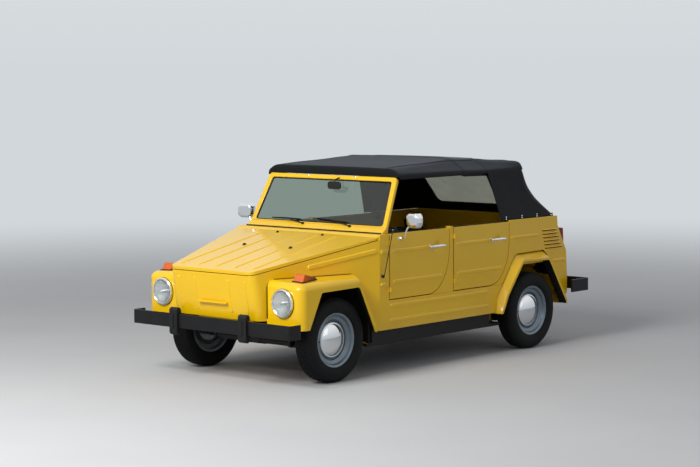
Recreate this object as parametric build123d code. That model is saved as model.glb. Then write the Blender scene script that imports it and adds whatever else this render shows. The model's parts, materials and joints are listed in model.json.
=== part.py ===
from build123d import *
import math
import os

# An open four-door utility car with a raised fabric top, in millimetres.
# X points forward, Y to the car's left and Z up.  The origin lies on the ground,
# midway between the bumper faces.

# ---- driving dimensions -------------------------------------------------------------
BODY_LENGTH = 3760.0          # over the bumper beams
BODY_HALF_WIDTH = 762.0       # to the door skins
ARCH_PROUD = 58.0             # the wheel-arch lips stand outside the door skins
ARCH_HALF_WIDTH = BODY_HALF_WIDTH + ARCH_PROUD
OUTSIDE = BODY_HALF_WIDTH + 138.0      # a plane outside every body panel, for cuts
FRONT_AXLE_X = 1260.0
REAR_AXLE_X = -1140.0
FRONT_HALF_TRACK = 662.0
REAR_HALF_TRACK = 705.0
TYRE_RADIUS = 320.0
TYRE_HALF_WIDTH = 84.0
RIM_RADIUS = 190.0
RIM_FLANGE = 17.0
RIM_HALF_WIDTH = 66.0
HUBCAP_RADIUS = 132.0

SHEET = 22.0                  # depth of a pressed double-skin panel
SKIN = 18.0                   # depth of a wing or arch skin
DOOR_DEPTH = 44.0
PANEL_GAP = 8.0               # shut line round a door
LID_GAP = 6.0                 # shut line round a lid
SEAT_CLEARANCE = 0.3          # where one piece is seated on another
PIN_CLEARANCE = 0.2
RIB_HEIGHT = 7.0
RIB_WIDTH = 34.0
RIB_SLOPE = 35.0              # degrees from square, of a pressed rib's flank

FLOOR_LOW = 225.0
FLOOR_SHEET = 25.0
FLOOR_HALF_WIDTH = 700.0
TUNNEL_HALF_WIDTH = 85.0
TUNNEL_TOP = 400.0
BULKHEAD_X = 852.0
BULKHEAD_SHEET = 28.0
REAR_BULKHEAD_X = -800.0
DECK_TOP = 730.0

SILL_BOTTOM = 345.0
BELT_HEIGHT = 1082.0          # top of the doors
RAIL_HEIGHT = 1094.0          # top of the posts and of the rail behind the doors
DOOR_BOTTOM = 578.0
DOOR_LENGTH = 728.0
DOOR_CORNER_LENGTH = 258.0    # half axes of the elliptic lower corner
DOOR_CORNER_HEIGHT = 352.0
FRONT_DOOR_X = 678.0          # front edge of the front door
REAR_DOOR_X = -108.0          # front edge of the rear door
HINGE_STAND_OFF = 12.0        # hinge axis outside the door skin
HINGE_AHEAD = 4.0             # hinge axis ahead of the door's front edge
HINGE_BARREL = 7.5
HINGE_HEIGHTS = (638.0, 997.0)
HINGE_LENGTH = 34.0
HANDLE_Z = 951.0
HIGH_RIB_STOP = 258.0         # a door's ribs end short of its rear edge
LOW_RIB_STOP = 88.0
HANDLE_SETBACK = 153.0        # the dish's centre ahead of the door's rear edge
HANDLE_AFT = DOOR_LENGTH - HANDLE_SETBACK
HANDLE_STAND_OFF = 37.0
DISH_RADIUS = 46.0
DISH_DEPTH = 11.0

# side-view outlines of the tail and of the rear wheel arch, as (x, z) pairs
QUARTER_REAR = [(-1513, RAIL_HEIGHT), (-1521, 1013), (-1646, 790), (-1661, 558),
                (-1661, 430), (-1590, 341)]
ARCH_JOINT = [(-657, 337), (-667, 459), (-786, 626), (-901, 782), (-943, 810), (-1312, 816),
              (-1366, 776), (-1593, 404), (-1588, 343)]
ARCH_BRIM = [(-668, 337), (-697, 402), (-740, 490), (-945, 748), (-986, 762), (-1322, 754),
             (-1347, 738), (-1588, 372), (-1587, 343)]
ARCH_LIP = [(-1570, 343), (-1567, 364), (-1333, 721), (-1316, 734), (-992, 743), (-961, 730),
            (-762, 480), (-720, 395), (-689, 337)]

LID_TOP = 968.0
LID_BOTTOM = 610.0
LID_HALF_WIDTH = 470.0
LID_CORNER = 40.0
LID_LANDING = 16.0            # how far the landing reaches in behind the lid's edge
LOUVRE_COUNT = 6
LOUVRE_PITCH = 30.0

CREASE_X = 795.0              # where the side turns in towards the nose
NOSE_TOP_X = 1850.0
NOSE_TOP_Z = 794.0
NOSE_RAKE = 10.0              # degrees, the nose leans back towards its foot
NOSE_HALF_WIDTH = 449.0       # at NOSE_GAUGE_X
NOSE_GAUGE_X = 1805.0
NOSE_CORNER = 75.0
NOSE_BOTTOM = 490.0
HOOD_REAR_X = 823.0
HOOD_REAR_GAP_Z = 1035.0      # height of the hood's shut line at its rear end
HOOD_SLOPE = 0.2
COWL_LOW = 1042.0             # underside of the cowl's top, just over the nose's side wall
HOOD_FLANGE = 24.0
HOOD_CROWN = 10.0
HOOD_RIB_PITCH = 193.0
HOOD_RIB_COUNT = 5

TUB_FRONT_X = 1640.0          # the luggage well under the hood
TUB_HALF_WIDTH = 395.0
TUB_FLOOR = 440.0
TUB_RIM = 722.0
TUB_SHEET = 15.0

FENDER_FRONT_X = 1735.0
FENDER_CORNER = 66.0
FENDER_WALL_TOP = 797.0       # wing top where it meets the nose side
WING_SLOPE = 0.05             # fall of the wing top towards its outer edge
FENDER_FOOT = 440.0
WING_ROUND = 56.0

HEADLIGHT_Y = 640.0
HEADLIGHT_Z = 636.0
HEADLIGHT_RADIUS = 108.0
HEADLIGHT_DEPTH = 27.0
LENS_RISE = 18.0

BEAM_DEPTH = 18.0
BEAM_PROUD = 78.0             # the bumper beams' ends stand outside the door skins
BEAM_HALF_WIDTH = BODY_HALF_WIDTH + BEAM_PROUD
BEAM_HEIGHT = 107.0
FRONT_BEAM_RETURN = 118.0
REAR_BEAM_RETURN = 250.0
BEAM_CORNER = 24.0
FRONT_BEAM_LOW = 388.0
REAR_BEAM_LOW = 433.0
TOW_EYE_RADIUS = 16.0
TOW_EYE_DEPTH = 12.0
FRONT_EYE_X = 1728.0
FRONT_EYE_Z = 415.0
REAR_EYE_X = -1760.0
REAR_EYE_Z = 408.0
GUARD_Y = 368.0
GUARD_WIDTH = 84.0
GUARD_PROUD = 20.0

SCREEN_FOOT_X = 690.0
SCREEN_FOOT_Z = 1096.0
SCREEN_HEAD_X = 491.0
SCREEN_HEAD_Z = 1504.0
SCREEN_FOOT_INSET = 35.0      # the screen's foot stands inside the door skins
SCREEN_FOOT_HALF = BODY_HALF_WIDTH - SCREEN_FOOT_INSET
SCREEN_HEAD_HALF = 682.0
SCREEN_DEPTH = 28.0
SCREEN_PILLAR = 43.0          # width of the frame's uprights
SCREEN_HEADER = 35.0          # width of the frame across the top
SCREEN_FOOT = 44.0            # width of the frame along the foot
GLASS_SETBACK = 12.0
GLASS_THICKNESS = 6.0

ROOF_HALF_WIDTH = 703.0       # of the fabric top at its side hems
VALANCE_Z = 1487.0            # lower edge of the side hems
HEADER_SHOULDER = (640.0, 1571.0)     # half width and height of the roof's flat part
FRONT_BOW_SHOULDER = (545.0, 1620.0)
MAIN_BOW_SHOULDER = (545.0, 1608.0)
REAR_BOW_SHOULDER = (676.0, 1571.0)
HEADER_EDGE_Z = 1527.0        # height of the roof's side crease
FRONT_BOW_EDGE_Z = 1522.0
MAIN_BOW_EDGE_Z = 1514.0
REAR_BOW_EDGE_Z = 1522.0
ROOF_CROWN = 6.0
FRONT_BOW_X = -322.0
MAIN_BOW_X = -630.0
REAR_BOW_X = -1093.0
CURTAIN_TOP_Z = 1510.0
CURTAIN_MIDDLE_Z = 1321.0
CURTAIN_BASE_HALF = BODY_HALF_WIDTH - 14.0
TOP_FRONT_FOOT_X = -752.0
TOP_REAR_X = -1490.0
TOP_BASE_Z = RAIL_HEIGHT + SEAT_CLEARANCE
CLOTH = 12.0
WINDOW_HALF_WIDTH = 445.0
WINDOW_LOW = 1181.0
WINDOW_HIGH = 1436.0
BOW_RADIUS = 10.0
BOW_PIVOT_X = -882.0
BOW_PIVOT_Z = 1056.0

AXLE_BEAM_X = 1390.0          # the twin tubes ahead of the front wheel centres
KINGPIN_Y = 595.0
KINGPIN_RADIUS = 10.0
STUB_RADIUS = 16.0
DRUM_RADIUS = 118.0

ENGINE_REAR = -1560.0

STEERING_Y = 370.0
STEERING_RADIUS = 200.0
RIM_GRIP = 12.0               # half thickness of the steering wheel's rim
STEERING_HUB_X = 372.0
STEERING_HUB_Z = 905.0
STEERING_RAKE = 32.0          # degrees of the column above level

TAIL_LAMP_X = -1700.0
TAIL_LAMP_Y = 656.0
TAIL_LAMP_HALF_WIDTH = 48.0

HALF_LENGTH = BODY_LENGTH / 2
REAR_DOOR_END = REAR_DOOR_X - DOOR_LENGTH
SIDE_INNER = BODY_HALF_WIDTH - SHEET
TURN_IN = (BODY_HALF_WIDTH - NOSE_HALF_WIDTH) / (NOSE_GAUGE_X - CREASE_X)
WING_FALL = WING_SLOPE * TURN_IN    # keeps the joint with the nose side level
SCREEN_RISE = Vector(SCREEN_HEAD_X - SCREEN_FOOT_X, 0, SCREEN_HEAD_Z - SCREEN_FOOT_Z)
SCREEN_LENGTH = SCREEN_RISE.length
SCREEN_PLANE = Plane(origin=(SCREEN_FOOT_X, 0, SCREEN_FOOT_Z), x_dir=(0, 1, 0),
                     z_dir=Vector(0, 1, 0).cross(SCREEN_RISE))


# ---- shapes shared by many pieces ---------------------------------------------------
def block(x_span, y_span, z_span):
    """A rectangular block between three pairs of limits."""
    spans = (x_span, y_span, z_span)
    size = [high - low for low, high in spans]
    centre = [(high + low) / 2 for low, high in spans]
    return Pos(*centre) * Box(*size)


def side_plate(outline, y_low, y_high):
    """A plate between two y values, cut to an outline in (x, z)."""
    plane = Plane(origin=(0, y_high, 0), x_dir=(1, 0, 0), z_dir=(0, -1, 0))
    return extrude(plane * outline, y_high - y_low, dir=(0, -1, 0))


def cross_plate(outline, x_low, x_high):
    """A plate between two x values, cut to an outline in (y, z)."""
    plane = Plane(origin=(x_low, 0, 0), x_dir=(0, 1, 0), z_dir=(1, 0, 0))
    return extrude(plane * outline, x_high - x_low, dir=(1, 0, 0))


def level_plate(outline, z_low, z_high):
    """A plate between two heights, cut to an outline in (x, y)."""
    return extrude(Pos(0, 0, z_low) * outline, z_high - z_low, dir=(0, 0, 1))


def corners(*points):
    """A sharp-cornered outline."""
    return make_face(Polyline(*points, close=True))


def rounded(radius, *points):
    """An outline whose corners all have one radius."""
    return make_face(FilletPolyline(*points, radius=radius, close=True))


def mirrored(shape):
    """The same piece on the car's other side."""
    return mirror(shape, about=Plane.XZ)


def both_sides(shape):
    return [shape, mirrored(shape)]


def rod(start, end, radius):
    """A round bar from one point to another."""
    direction = Vector(*end) - Vector(*start)
    plane = Plane(origin=start, z_dir=direction)
    return extrude(plane * Circle(radius), direction.length, dir=direction)


def bent_rod(points, bend, radius):
    """A round bar along straight runs joined by arcs."""
    path = FilletPolyline(*points, radius=bend)
    section = Plane(origin=path @ 0, z_dir=path % 0) * Circle(radius)
    return sweep(section, path=path)


def dome_arc(base, radius, height):
    """A shallow dome's profile, from its rim to the axis, as (axial, radial) points."""
    ball = (radius ** 2 + height ** 2) / (2 * height)
    half_turn = math.asin(radius / ball) / 2
    middle = (base + height - ball + ball * math.cos(half_turn), ball * math.sin(half_turn))
    return ThreePointArc((base, radius), middle, (base + height, 0))


def save(name, *pieces):
    """Write one node's solids to its own file."""
    solids = []
    for piece in pieces:
        solids.extend(piece.solids())
    whole = solids[0] if len(solids) == 1 else Compound(children=solids)
    whole.label = name
    export_step(whole, f"parts/{name}.step")
    print(f"{name}: {len(solids)}")


# ---- body side: flat behind the crease, turned in ahead of it -----------------------


def wall_y(x):
    """Half width of the nose side at a station ahead of the crease."""
    return BODY_HALF_WIDTH - (x - CREASE_X) * TURN_IN


def nose_front(z):
    return NOSE_TOP_X - (NOSE_TOP_Z - z) * math.tan(math.radians(NOSE_RAKE))


def shut_line(x):
    """Height of the hood's shut line."""
    return HOOD_REAR_GAP_Z - (x - HOOD_REAR_X) * HOOD_SLOPE


def nose_section(z, inset):
    front = nose_front(z) - inset
    half = wall_y(front) - inset
    rear_half = wall_y(CREASE_X) - inset
    path = FilletPolyline(
        (CREASE_X, -rear_half), (front, -half), (front, half), (CREASE_X, rear_half),
        radius=[0, NOSE_CORNER - inset, NOSE_CORNER - inset, 0], close=True)
    return Pos(0, 0, z) * make_face(path)


def nose_prism(inset):
    """The nose's full block, its front leaning back towards the foot."""
    return loft([nose_section(300, inset), nose_section(1140, inset)], ruled=True)


def raised_rib(plane, length, width=RIB_WIDTH, height=RIB_HEIGHT, root=4.0):
    """A pressed rib with sloping flanks that stands on a plane, along its x axis."""
    foot = plane.offset(-root) * SlotOverall(length, width)
    return extrude(foot, height + root, taper=RIB_SLOPE)


def side_rib(x_rear, x_front, z_low, z_high):
    """A level rib on the flat body side."""
    centre = ((x_rear + x_front) / 2, BODY_HALF_WIDTH, (z_low + z_high) / 2)
    plane = Plane(origin=centre, x_dir=(1, 0, 0), z_dir=(0, 1, 0))
    return raised_rib(plane, x_front - x_rear, width=z_high - z_low)


def turned_in_rib(start, end, width):
    """A rib on the turned-in nose side between two (x, z) points."""
    low = Vector(start[0], wall_y(start[0]), start[1])
    high = Vector(end[0], wall_y(end[0]), end[1])
    run = high - low
    outward = Vector(TURN_IN, 1, 0)
    plane = Plane(origin=(low + high) * 0.5, x_dir=run, z_dir=outward)
    return raised_rib(plane, run.length, width=width)


# ---- doors --------------------------------------------------------------------------
def door_outline(front, margin):
    """A door's outline, or the hole for it when margin is the shut line."""
    rear = front - DOOR_LENGTH - margin
    corner_x = front - DOOR_LENGTH + DOOR_CORNER_LENGTH
    corner_z = DOOR_BOTTOM + DOOR_CORNER_HEIGHT
    bottom = DOOR_BOTTOM - margin
    top = BELT_HEIGHT + 2 * margin
    sides = Polyline((corner_x, bottom), (front + margin, bottom), (front + margin, top),
                     (rear, top), (rear, corner_z))
    corner = EllipticalCenterArc((corner_x, corner_z), DOOR_CORNER_LENGTH + margin,
                                 DOOR_CORNER_HEIGHT + margin, start_angle=180, arc_size=90)
    return make_face([*sides.edges(), *corner.edges()])


def handle_dish(front):
    """The round hollow in the skin that leaves room for fingers."""
    ball = (DISH_RADIUS ** 2 + DISH_DEPTH ** 2) / (2 * DISH_DEPTH)
    centre = (front - HANDLE_AFT, BODY_HALF_WIDTH - DISH_DEPTH + ball, HANDLE_Z)
    return Pos(*centre) * Sphere(ball)


def door_panel(front):
    skin_low = BODY_HALF_WIDTH - DOOR_DEPTH
    panel = side_plate(door_outline(front, 0), skin_low, BODY_HALF_WIDTH)
    panel += side_rib(front - DOOR_LENGTH + HIGH_RIB_STOP, front - 32, 930, 965)
    panel += side_rib(front - DOOR_LENGTH + LOW_RIB_STOP, front - 34, 692, 728)
    for low in HINGE_HEIGHTS:
        panel += door_leaf(front, low)
    return panel - handle_dish(front)


def door_handle(front):
    """A grip that stands off the skin on two feet, its front foot on the push button."""
    reach = 50.0
    grip_y = BODY_HALF_WIDTH + HANDLE_STAND_OFF
    front_x = front - HANDLE_AFT + 125
    rear_x = front - HANDLE_AFT - 67
    grip = block((rear_x, front_x), (grip_y - 7, grip_y + 7), (HANDLE_Z - 11, HANDLE_Z + 11))
    grip = fillet(grip.edges().filter_by(Axis.X), 5)
    foot_y = (BODY_HALF_WIDTH + SEAT_CLEARANCE, BODY_HALF_WIDTH + reach - 18)
    front_foot = block((front_x - 50, front_x - 28), foot_y, (HANDLE_Z - 10, HANDLE_Z + 10))
    rear_foot = block((rear_x + 4, rear_x + 20), foot_y, (HANDLE_Z - 9, HANDLE_Z + 9))
    return grip + front_foot + rear_foot


def door_mirror():
    """A round-cornered head on a cranked stalk with a foot on the door skin."""
    foot = Pos(563, BODY_HALF_WIDTH + SEAT_CLEARANCE + 4, 1040) * Rot(90, 0, 0) * Cylinder(17, 8)
    skin = BODY_HALF_WIDTH
    route = [(563, skin + 6, 1040), (563, skin + 50, 1044), (566, skin + 76, 1108),
             (556, skin + 116, 1172)]
    stalk = bent_rod(route, 16, 6.5)
    head_block = Box(62, 142, 116)
    head_block = fillet(head_block.edges().filter_by(Axis.X), 44)
    head_block = fillet(head_block.edges().group_by(Axis.X)[-1], 24)
    head = Pos(556, skin + 140, 1184) * Rot(0, 0, -12) * head_block
    return foot + stalk + head


# ---- floor and inner structure ------------------------------------------------------
def floor_pan():
    rear = REAR_BULKHEAD_X
    front = BULKHEAD_X + BULKHEAD_SHEET
    top = FLOOR_LOW + FLOOR_SHEET
    pan = block((rear, front), (-FLOOR_HALF_WIDTH, FLOOR_HALF_WIDTH), (FLOOR_LOW, top))
    tunnel_half = TUNNEL_HALF_WIDTH
    pan += block((rear, front), (-tunnel_half, tunnel_half), (FLOOR_LOW, TUNNEL_TOP))
    pan += block((front, AXLE_BEAM_X - 34), (-tunnel_half, tunnel_half), (FLOOR_LOW + 20, 380))
    for side in (-1, 1):
        edge = sorted((side * FLOOR_HALF_WIDTH, side * (FLOOR_HALF_WIDTH - SHEET)))
        pan += block((-650, front - 60), edge, (FLOOR_LOW, SILL_BOTTOM + 60))
    return pan


def front_bulkhead():
    rear = BULKHEAD_X
    front = BULKHEAD_X + BULKHEAD_SHEET
    outline = corners((rear, FLOOR_LOW + FLOOR_SHEET), (front, FLOOR_LOW + FLOOR_SHEET),
                      (front, 985), (815, 1030), (792, 1030), (rear, 965))
    half = wall_y(front) - SHEET
    wall = side_plate(outline, -half, half)
    tunnel = block((700, 1000), (-TUNNEL_HALF_WIDTH, TUNNEL_HALF_WIDTH), (200, TUNNEL_TOP))
    return wall - tunnel


def front_tub():
    """The luggage well under the hood, with a shelf over each front wheel."""
    rear = BULKHEAD_X + BULKHEAD_SHEET
    well = block((rear, TUB_FRONT_X), (-TUB_HALF_WIDTH, TUB_HALF_WIDTH), (TUB_FLOOR, TUB_RIM))
    shelf = level_plate(corners((rear, -1000), (2000, -1000), (2000, 1000), (rear, 1000)),
                        TUB_RIM - 16, TUB_RIM)
    shelf &= nose_prism(SHEET)
    inner = TUB_HALF_WIDTH - TUB_SHEET
    hollow = block((rear + TUB_SHEET, TUB_FRONT_X - TUB_SHEET), (-inner, inner),
                   (TUB_FLOOR + TUB_SHEET, 2 * TUB_RIM))
    return well + shelf - hollow


def rear_deck():
    """The bulkhead behind the rear seat and the luggage floor over the engine."""
    outline = corners((REAR_BULKHEAD_X, FLOOR_LOW), (REAR_BULKHEAD_X, DECK_TOP),
                      (-1600, DECK_TOP), (-1600, DECK_TOP - 20),
                      (REAR_BULKHEAD_X - 20, DECK_TOP - 20), (REAR_BULKHEAD_X - 20, FLOOR_LOW))
    deck = side_plate(outline, -SIDE_INNER, SIDE_INNER)
    wheel_room = block((-900, -700), (600, OUTSIDE), (200, 690))
    return deck - wheel_room - mirrored(wheel_room)


def sills():
    outline = corners((686, SILL_BOTTOM), (686, DOOR_BOTTOM - PANEL_GAP),
                      (-742, DOOR_BOTTOM - PANEL_GAP), (-667, 459), (-657, SILL_BOTTOM))
    box = side_plate(outline, FLOOR_HALF_WIDTH, BODY_HALF_WIDTH)
    box += side_rib(-560, 680, 510, 545)
    box += side_rib(-560, 680, 395, 430)
    return both_sides(box)


def door_posts():
    """The post between the doors, with the panel under the front door's round corner."""
    rear = REAR_DOOR_X + PANEL_GAP
    outline = corners((rear, DOOR_BOTTOM - PANEL_GAP), (400, DOOR_BOTTOM - PANEL_GAP),
                      (400, RAIL_HEIGHT), (rear, RAIL_HEIGHT))
    post = side_plate(outline, BODY_HALF_WIDTH - DOOR_DEPTH, BODY_HALF_WIDTH)
    post -= side_plate(door_outline(FRONT_DOOR_X, PANEL_GAP), 500, OUTSIDE)
    post = post.solids().sort_by(Axis.X)[0]
    return both_sides(post)


def hinge_barrel(front, low, high):
    centre = (front + HINGE_AHEAD, BODY_HALF_WIDTH + HINGE_STAND_OFF, (low + high) / 2)
    return Pos(*centre) * Cylinder(HINGE_BARREL, high - low)


def body_hinges():
    """The fixed leaves, each with two barrels, on the cowl side and on the post."""
    pieces = []
    third = HINGE_LENGTH / 3
    skin = BODY_HALF_WIDTH + SEAT_CLEARANCE
    for front in (FRONT_DOOR_X, REAR_DOOR_X):
        for low in HINGE_HEIGHTS:
            high = low + HINGE_LENGTH
            leaf = block((front + PANEL_GAP + 1, front + 34), (skin, skin + 4), (low, high))
            arm = block((front + HINGE_AHEAD, front + 18), (skin + 3, skin + 11), (low, low + third))
            hinge = leaf + arm + Pos(0, 0, 2 * third) * arm
            hinge += hinge_barrel(front, low, low + third)
            hinge += hinge_barrel(front, low + 2 * third, high)
            pieces.append(hinge)
    return pieces


def door_leaf(front, low):
    """The moving leaf: one barrel between the fixed two, on a foot on the door skin."""
    third = HINGE_LENGTH / 3
    bottom = low + third + SEAT_CLEARANCE
    top = low + 2 * third - SEAT_CLEARANCE
    leaf = block((front - 26, front - 1), (BODY_HALF_WIDTH - 2, BODY_HALF_WIDTH + 4), (bottom, top))
    arm = block((front - 12, front + HINGE_AHEAD), (BODY_HALF_WIDTH + 3, BODY_HALF_WIDTH + 11),
                (bottom, top))
    return leaf + arm + hinge_barrel(front, bottom, top)


def quarter_panels():
    front = REAR_DOOR_END - PANEL_GAP
    outline = corners((-560, DOOR_BOTTOM - PANEL_GAP), (-560, RAIL_HEIGHT), *QUARTER_REAR,
                      *ARCH_JOINT[:1:-1], (-742, DOOR_BOTTOM - PANEL_GAP))
    panel = side_plate(outline, SIDE_INNER, BODY_HALF_WIDTH)
    panel -= side_plate(door_outline(REAR_DOOR_X, PANEL_GAP), 500, OUTSIDE)
    panel = panel.solids().sort_by(SortBy.VOLUME)[-1]
    panel += side_rib(-1246, -862, 932, 964)
    panel += side_rib(-1638, -1452, 698, 730)
    for slot in range(LOUVRE_COUNT):
        top = 985 - slot * LOUVRE_PITCH
        left = -1295 - slot * 9
        right = -1500 - slot * 16
        cut = rounded(4, (left, top), (left - 3, top - 13), (right - 5, top - 13),
                      (right, top))
        panel -= side_plate(cut, SIDE_INNER - 1, BODY_HALF_WIDTH + 1)
    return both_sides(panel)


def rear_flares():
    """The wheel-arch flare, from its joint with the side out to the lip."""
    foot = Plane(origin=(0, SIDE_INNER, 0), x_dir=(1, 0, 0), z_dir=(0, -1, 0))
    brim = Plane(origin=(0, ARCH_HALF_WIDTH, 0), x_dir=(1, 0, 0), z_dir=(0, -1, 0))
    joint = foot * corners(*ARCH_JOINT, *ARCH_LIP)
    edge = brim * corners(*ARCH_BRIM, *ARCH_LIP)
    return both_sides(loft([joint, edge], ruled=True))


def rear_shell(front, back):
    """A sheet that follows the tail's profile, between two depths."""
    outer = [(x + front, z) for x, z in QUARTER_REAR]
    inner = [(x + back, z) for x, z in QUARTER_REAR[::-1]]
    return side_plate(corners(*outer, *inner), -SIDE_INNER, SIDE_INNER)


def rear_panel():
    """The tail, with a landing behind the lid's edge that the lid closes on."""
    landing = rear_shell(SHEET, SHEET + 8) & lid_hole(30)
    landing -= lid_hole(-LID_LANDING)
    landing -= block((-1800, -1300), (-600, 600), (LID_TOP - 60, LID_TOP + 60))
    return rear_shell(0, SHEET) - lid_hole(LID_GAP) + landing


def lid_hole(margin):
    outline = rounded(LID_CORNER, (-LID_HALF_WIDTH - margin, LID_BOTTOM - margin),
                      (LID_HALF_WIDTH + margin, LID_BOTTOM - margin),
                      (LID_HALF_WIDTH + margin, LID_TOP + margin),
                      (-LID_HALF_WIDTH - margin, LID_TOP + margin))
    return cross_plate(outline, -1800, -1400)


def engine_lid():
    lid = rear_shell(0, SHEET - SEAT_CLEARANCE) & lid_hole(0)
    for row in range(5):
        z = 870 - row * 22
        for side in (-1, 1):
            slot = rounded(3, (side * 60, z), (side * 60, z + 9), (side * 400, z + 9),
                           (side * 400, z))
            lid -= cross_plate(slot, -1800, -1400)
    return lid


# ---- nose, hood and cowl ------------------------------------------------------------
def nose_panel():
    shell = nose_prism(0) - nose_prism(SHEET)
    shell -= block((700, 1500), (-2 * SIDE_INNER, 2 * SIDE_INNER), (1090, 1200))
    keep = corners((CREASE_X, SILL_BOTTOM), (840, SILL_BOTTOM), (1006, 715), (1660, 715),
                   (1660, NOSE_BOTTOM), (2000, NOSE_BOTTOM), (2000, shut_line(2000)),
                   (CREASE_X, shut_line(CREASE_X)))
    rear_wall = block((CREASE_X - 1, CREASE_X + SHEET + 1), (-SIDE_INNER, SIDE_INNER), (0, 2000))
    nose = (shell & side_plate(keep, -OUTSIDE, OUTSIDE)) - rear_wall
    for y in (-350, -178, 178, 350):
        lean = math.radians(NOSE_RAKE)
        plane = Plane(origin=(nose_front(664), y, 664), x_dir=(math.sin(lean), 0, math.cos(lean)),
                      z_dir=(math.cos(lean), 0, -math.sin(lean)))
        nose += raised_rib(plane, 258, width=30, height=5)
    for side in (0, 1):
        ribs = turned_in_rib((1404, 866), (CREASE_X + 20, 962), 42)
        ribs += turned_in_rib((935, 694), (CREASE_X + 12, 698), 32)
        nose += mirrored(ribs) if side else ribs
    return nose - block((0, CREASE_X), (-OUTSIDE, OUTSIDE), (0, 1200))


def hood_seal():
    """The rubber strip on the nose's upper edge that the hood closes on."""
    ring = nose_prism(7) - nose_prism(15)
    low = [(HOOD_REAR_X + 5, shut_line(HOOD_REAR_X + 5)), (1900, shut_line(1900))]
    high = [(x, z + LID_GAP - SEAT_CLEARANCE) for x, z in low[::-1]]
    return ring & side_plate(corners(*low, *high), -OUTSIDE, OUTSIDE)


def latch_bar():
    """The release bar low on the nose, on two feet."""
    z = 610
    x = nose_front(z)
    bar = block((x + 16, x + 26), (-150, 150), (z - 7, z + 7))
    for y in (-140, 140):
        bar += block((x - 4, x + 18), (y - 10, y + 10), (z - 7, z + 7))
    return bar - nose_prism(-SEAT_CLEARANCE)


def hood_block(inset, drop):
    """The space under the hood's crowned top, above its shut line."""
    rear = HOOD_REAR_X + inset
    edge_z = HOOD_REAR_GAP_Z + HOOD_FLANGE - drop - inset * HOOD_SLOPE
    low = HOOD_REAR_GAP_Z + LID_GAP - inset * HOOD_SLOPE - (500 if drop else 0)
    half = 900
    top = ThreePointArc((-half, edge_z), (0, edge_z + HOOD_CROWN), (half, edge_z))
    sides = Polyline((half, edge_z), (half, low), (-half, low), (-half, edge_z))
    face = make_face([*top.edges(), *sides.edges()])
    plane = Plane(origin=(rear, 0, 0), x_dir=(0, 1, 0), z_dir=(1, 0, 0))
    run = Vector(1, 0, -HOOD_SLOPE)
    return extrude(plane * face, 1200 * run.length, dir=run)


def hood_top(x, y):
    half = 900
    edge_z = HOOD_REAR_GAP_Z + HOOD_FLANGE - (x - HOOD_REAR_X) * HOOD_SLOPE
    return edge_z + HOOD_CROWN * (1 - (y / half) ** 2)


def hood():
    outer = nose_prism(0) & hood_block(0, 0)
    inner = nose_prism(SKIN) & hood_block(SKIN, SKIN)
    lid = outer - inner
    run = Vector(1, 0, -HOOD_SLOPE)
    up = Vector(HOOD_SLOPE, 0, 1)
    for row in range(HOOD_RIB_COUNT):
        y = (row - (HOOD_RIB_COUNT - 1) / 2) * HOOD_RIB_PITCH
        front = 1800
        rear = HOOD_REAR_X + 45
        middle = (front + rear) / 2
        plane = Plane(origin=(middle, y, hood_top(middle, y)), x_dir=run, z_dir=up)
        lid += raised_rib(plane, (front - rear) * run.length, width=30, height=6)
    return lid


def cowl_panel():
    """The scuttle under the windscreen, with the posts that the front doors hang on."""
    top_outline = corners((FRONT_DOOR_X + PANEL_GAP, COWL_LOW), (FRONT_DOOR_X + PANEL_GAP, BELT_HEIGHT),
                          (CREASE_X - 15, BELT_HEIGHT), (HOOD_REAR_X - LID_GAP, 1062),
                          (HOOD_REAR_X - LID_GAP, COWL_LOW))
    top = side_plate(top_outline, -BODY_HALF_WIDTH, BODY_HALF_WIDTH)
    side_outline = corners((FRONT_DOOR_X + PANEL_GAP, SILL_BOTTOM), (CREASE_X, SILL_BOTTOM),
                           (CREASE_X, COWL_LOW), (FRONT_DOOR_X + PANEL_GAP, COWL_LOW))
    side = side_plate(side_outline, SIDE_INNER, BODY_HALF_WIDTH)
    side += side_rib(FRONT_DOOR_X + 22, CREASE_X - 6, 926, 968)
    side += side_rib(FRONT_DOOR_X + 44, CREASE_X - 6, 680, 712)
    sill = block((600, 686), (600, OUTSIDE), (300, 600))
    cowl = top + side + mirrored(side)
    cut = block((CREASE_X, 900), (wall_y(HOOD_REAR_X), OUTSIDE), (900, 1100))
    return cowl - cut - mirrored(cut) - sill


# ---- front wings --------------------------------------------------------------------
def wing_top(x, y):
    """Height of a wing's flat top, which falls outwards and a little forwards."""
    return FENDER_WALL_TOP - WING_SLOPE * (y - wall_y(1200)) - WING_FALL * (x - 1200)


def wing_block(inset):
    """One front wing as a block: square front, sloped top, slanted rear face."""
    front = FENDER_FRONT_X - inset
    edge = ARCH_HALF_WIDTH - inset
    corner = FENDER_CORNER - inset
    plan = make_face(FilletPolyline(
        (800, 380), (front, 380), (front, edge), (800, edge),
        radius=[0, 0, corner, 0], close=True))
    solid = level_plate(plan, 250, 900)
    outline = corners((300, 200), (300, wing_top(900, 300) - inset),
                      (OUTSIDE, wing_top(900, OUTSIDE) - inset), (OUTSIDE, 200))
    plane = Plane(origin=(900, 0, 0), x_dir=(0, 1, 0), z_dir=(1, 0, 0))
    fall = Vector(1, 0, -WING_FALL)
    solid &= extrude(plane * outline, 1000 * fall.length, dir=fall)
    crease_top = Vector(1039, wall_y(1039), 794)
    crease_foot = Vector(840, wall_y(840), SILL_BOTTOM)
    lip_top = Vector(1076, ARCH_HALF_WIDTH, 733)
    normal = (crease_foot - crease_top).cross(lip_top - crease_top).normalized()
    if normal.X < 0:
        normal = normal * -1
    rear_face = Plane(origin=crease_top + normal * inset, z_dir=normal)
    return split(solid, bisect_by=rear_face, keep=Keep.TOP)


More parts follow.
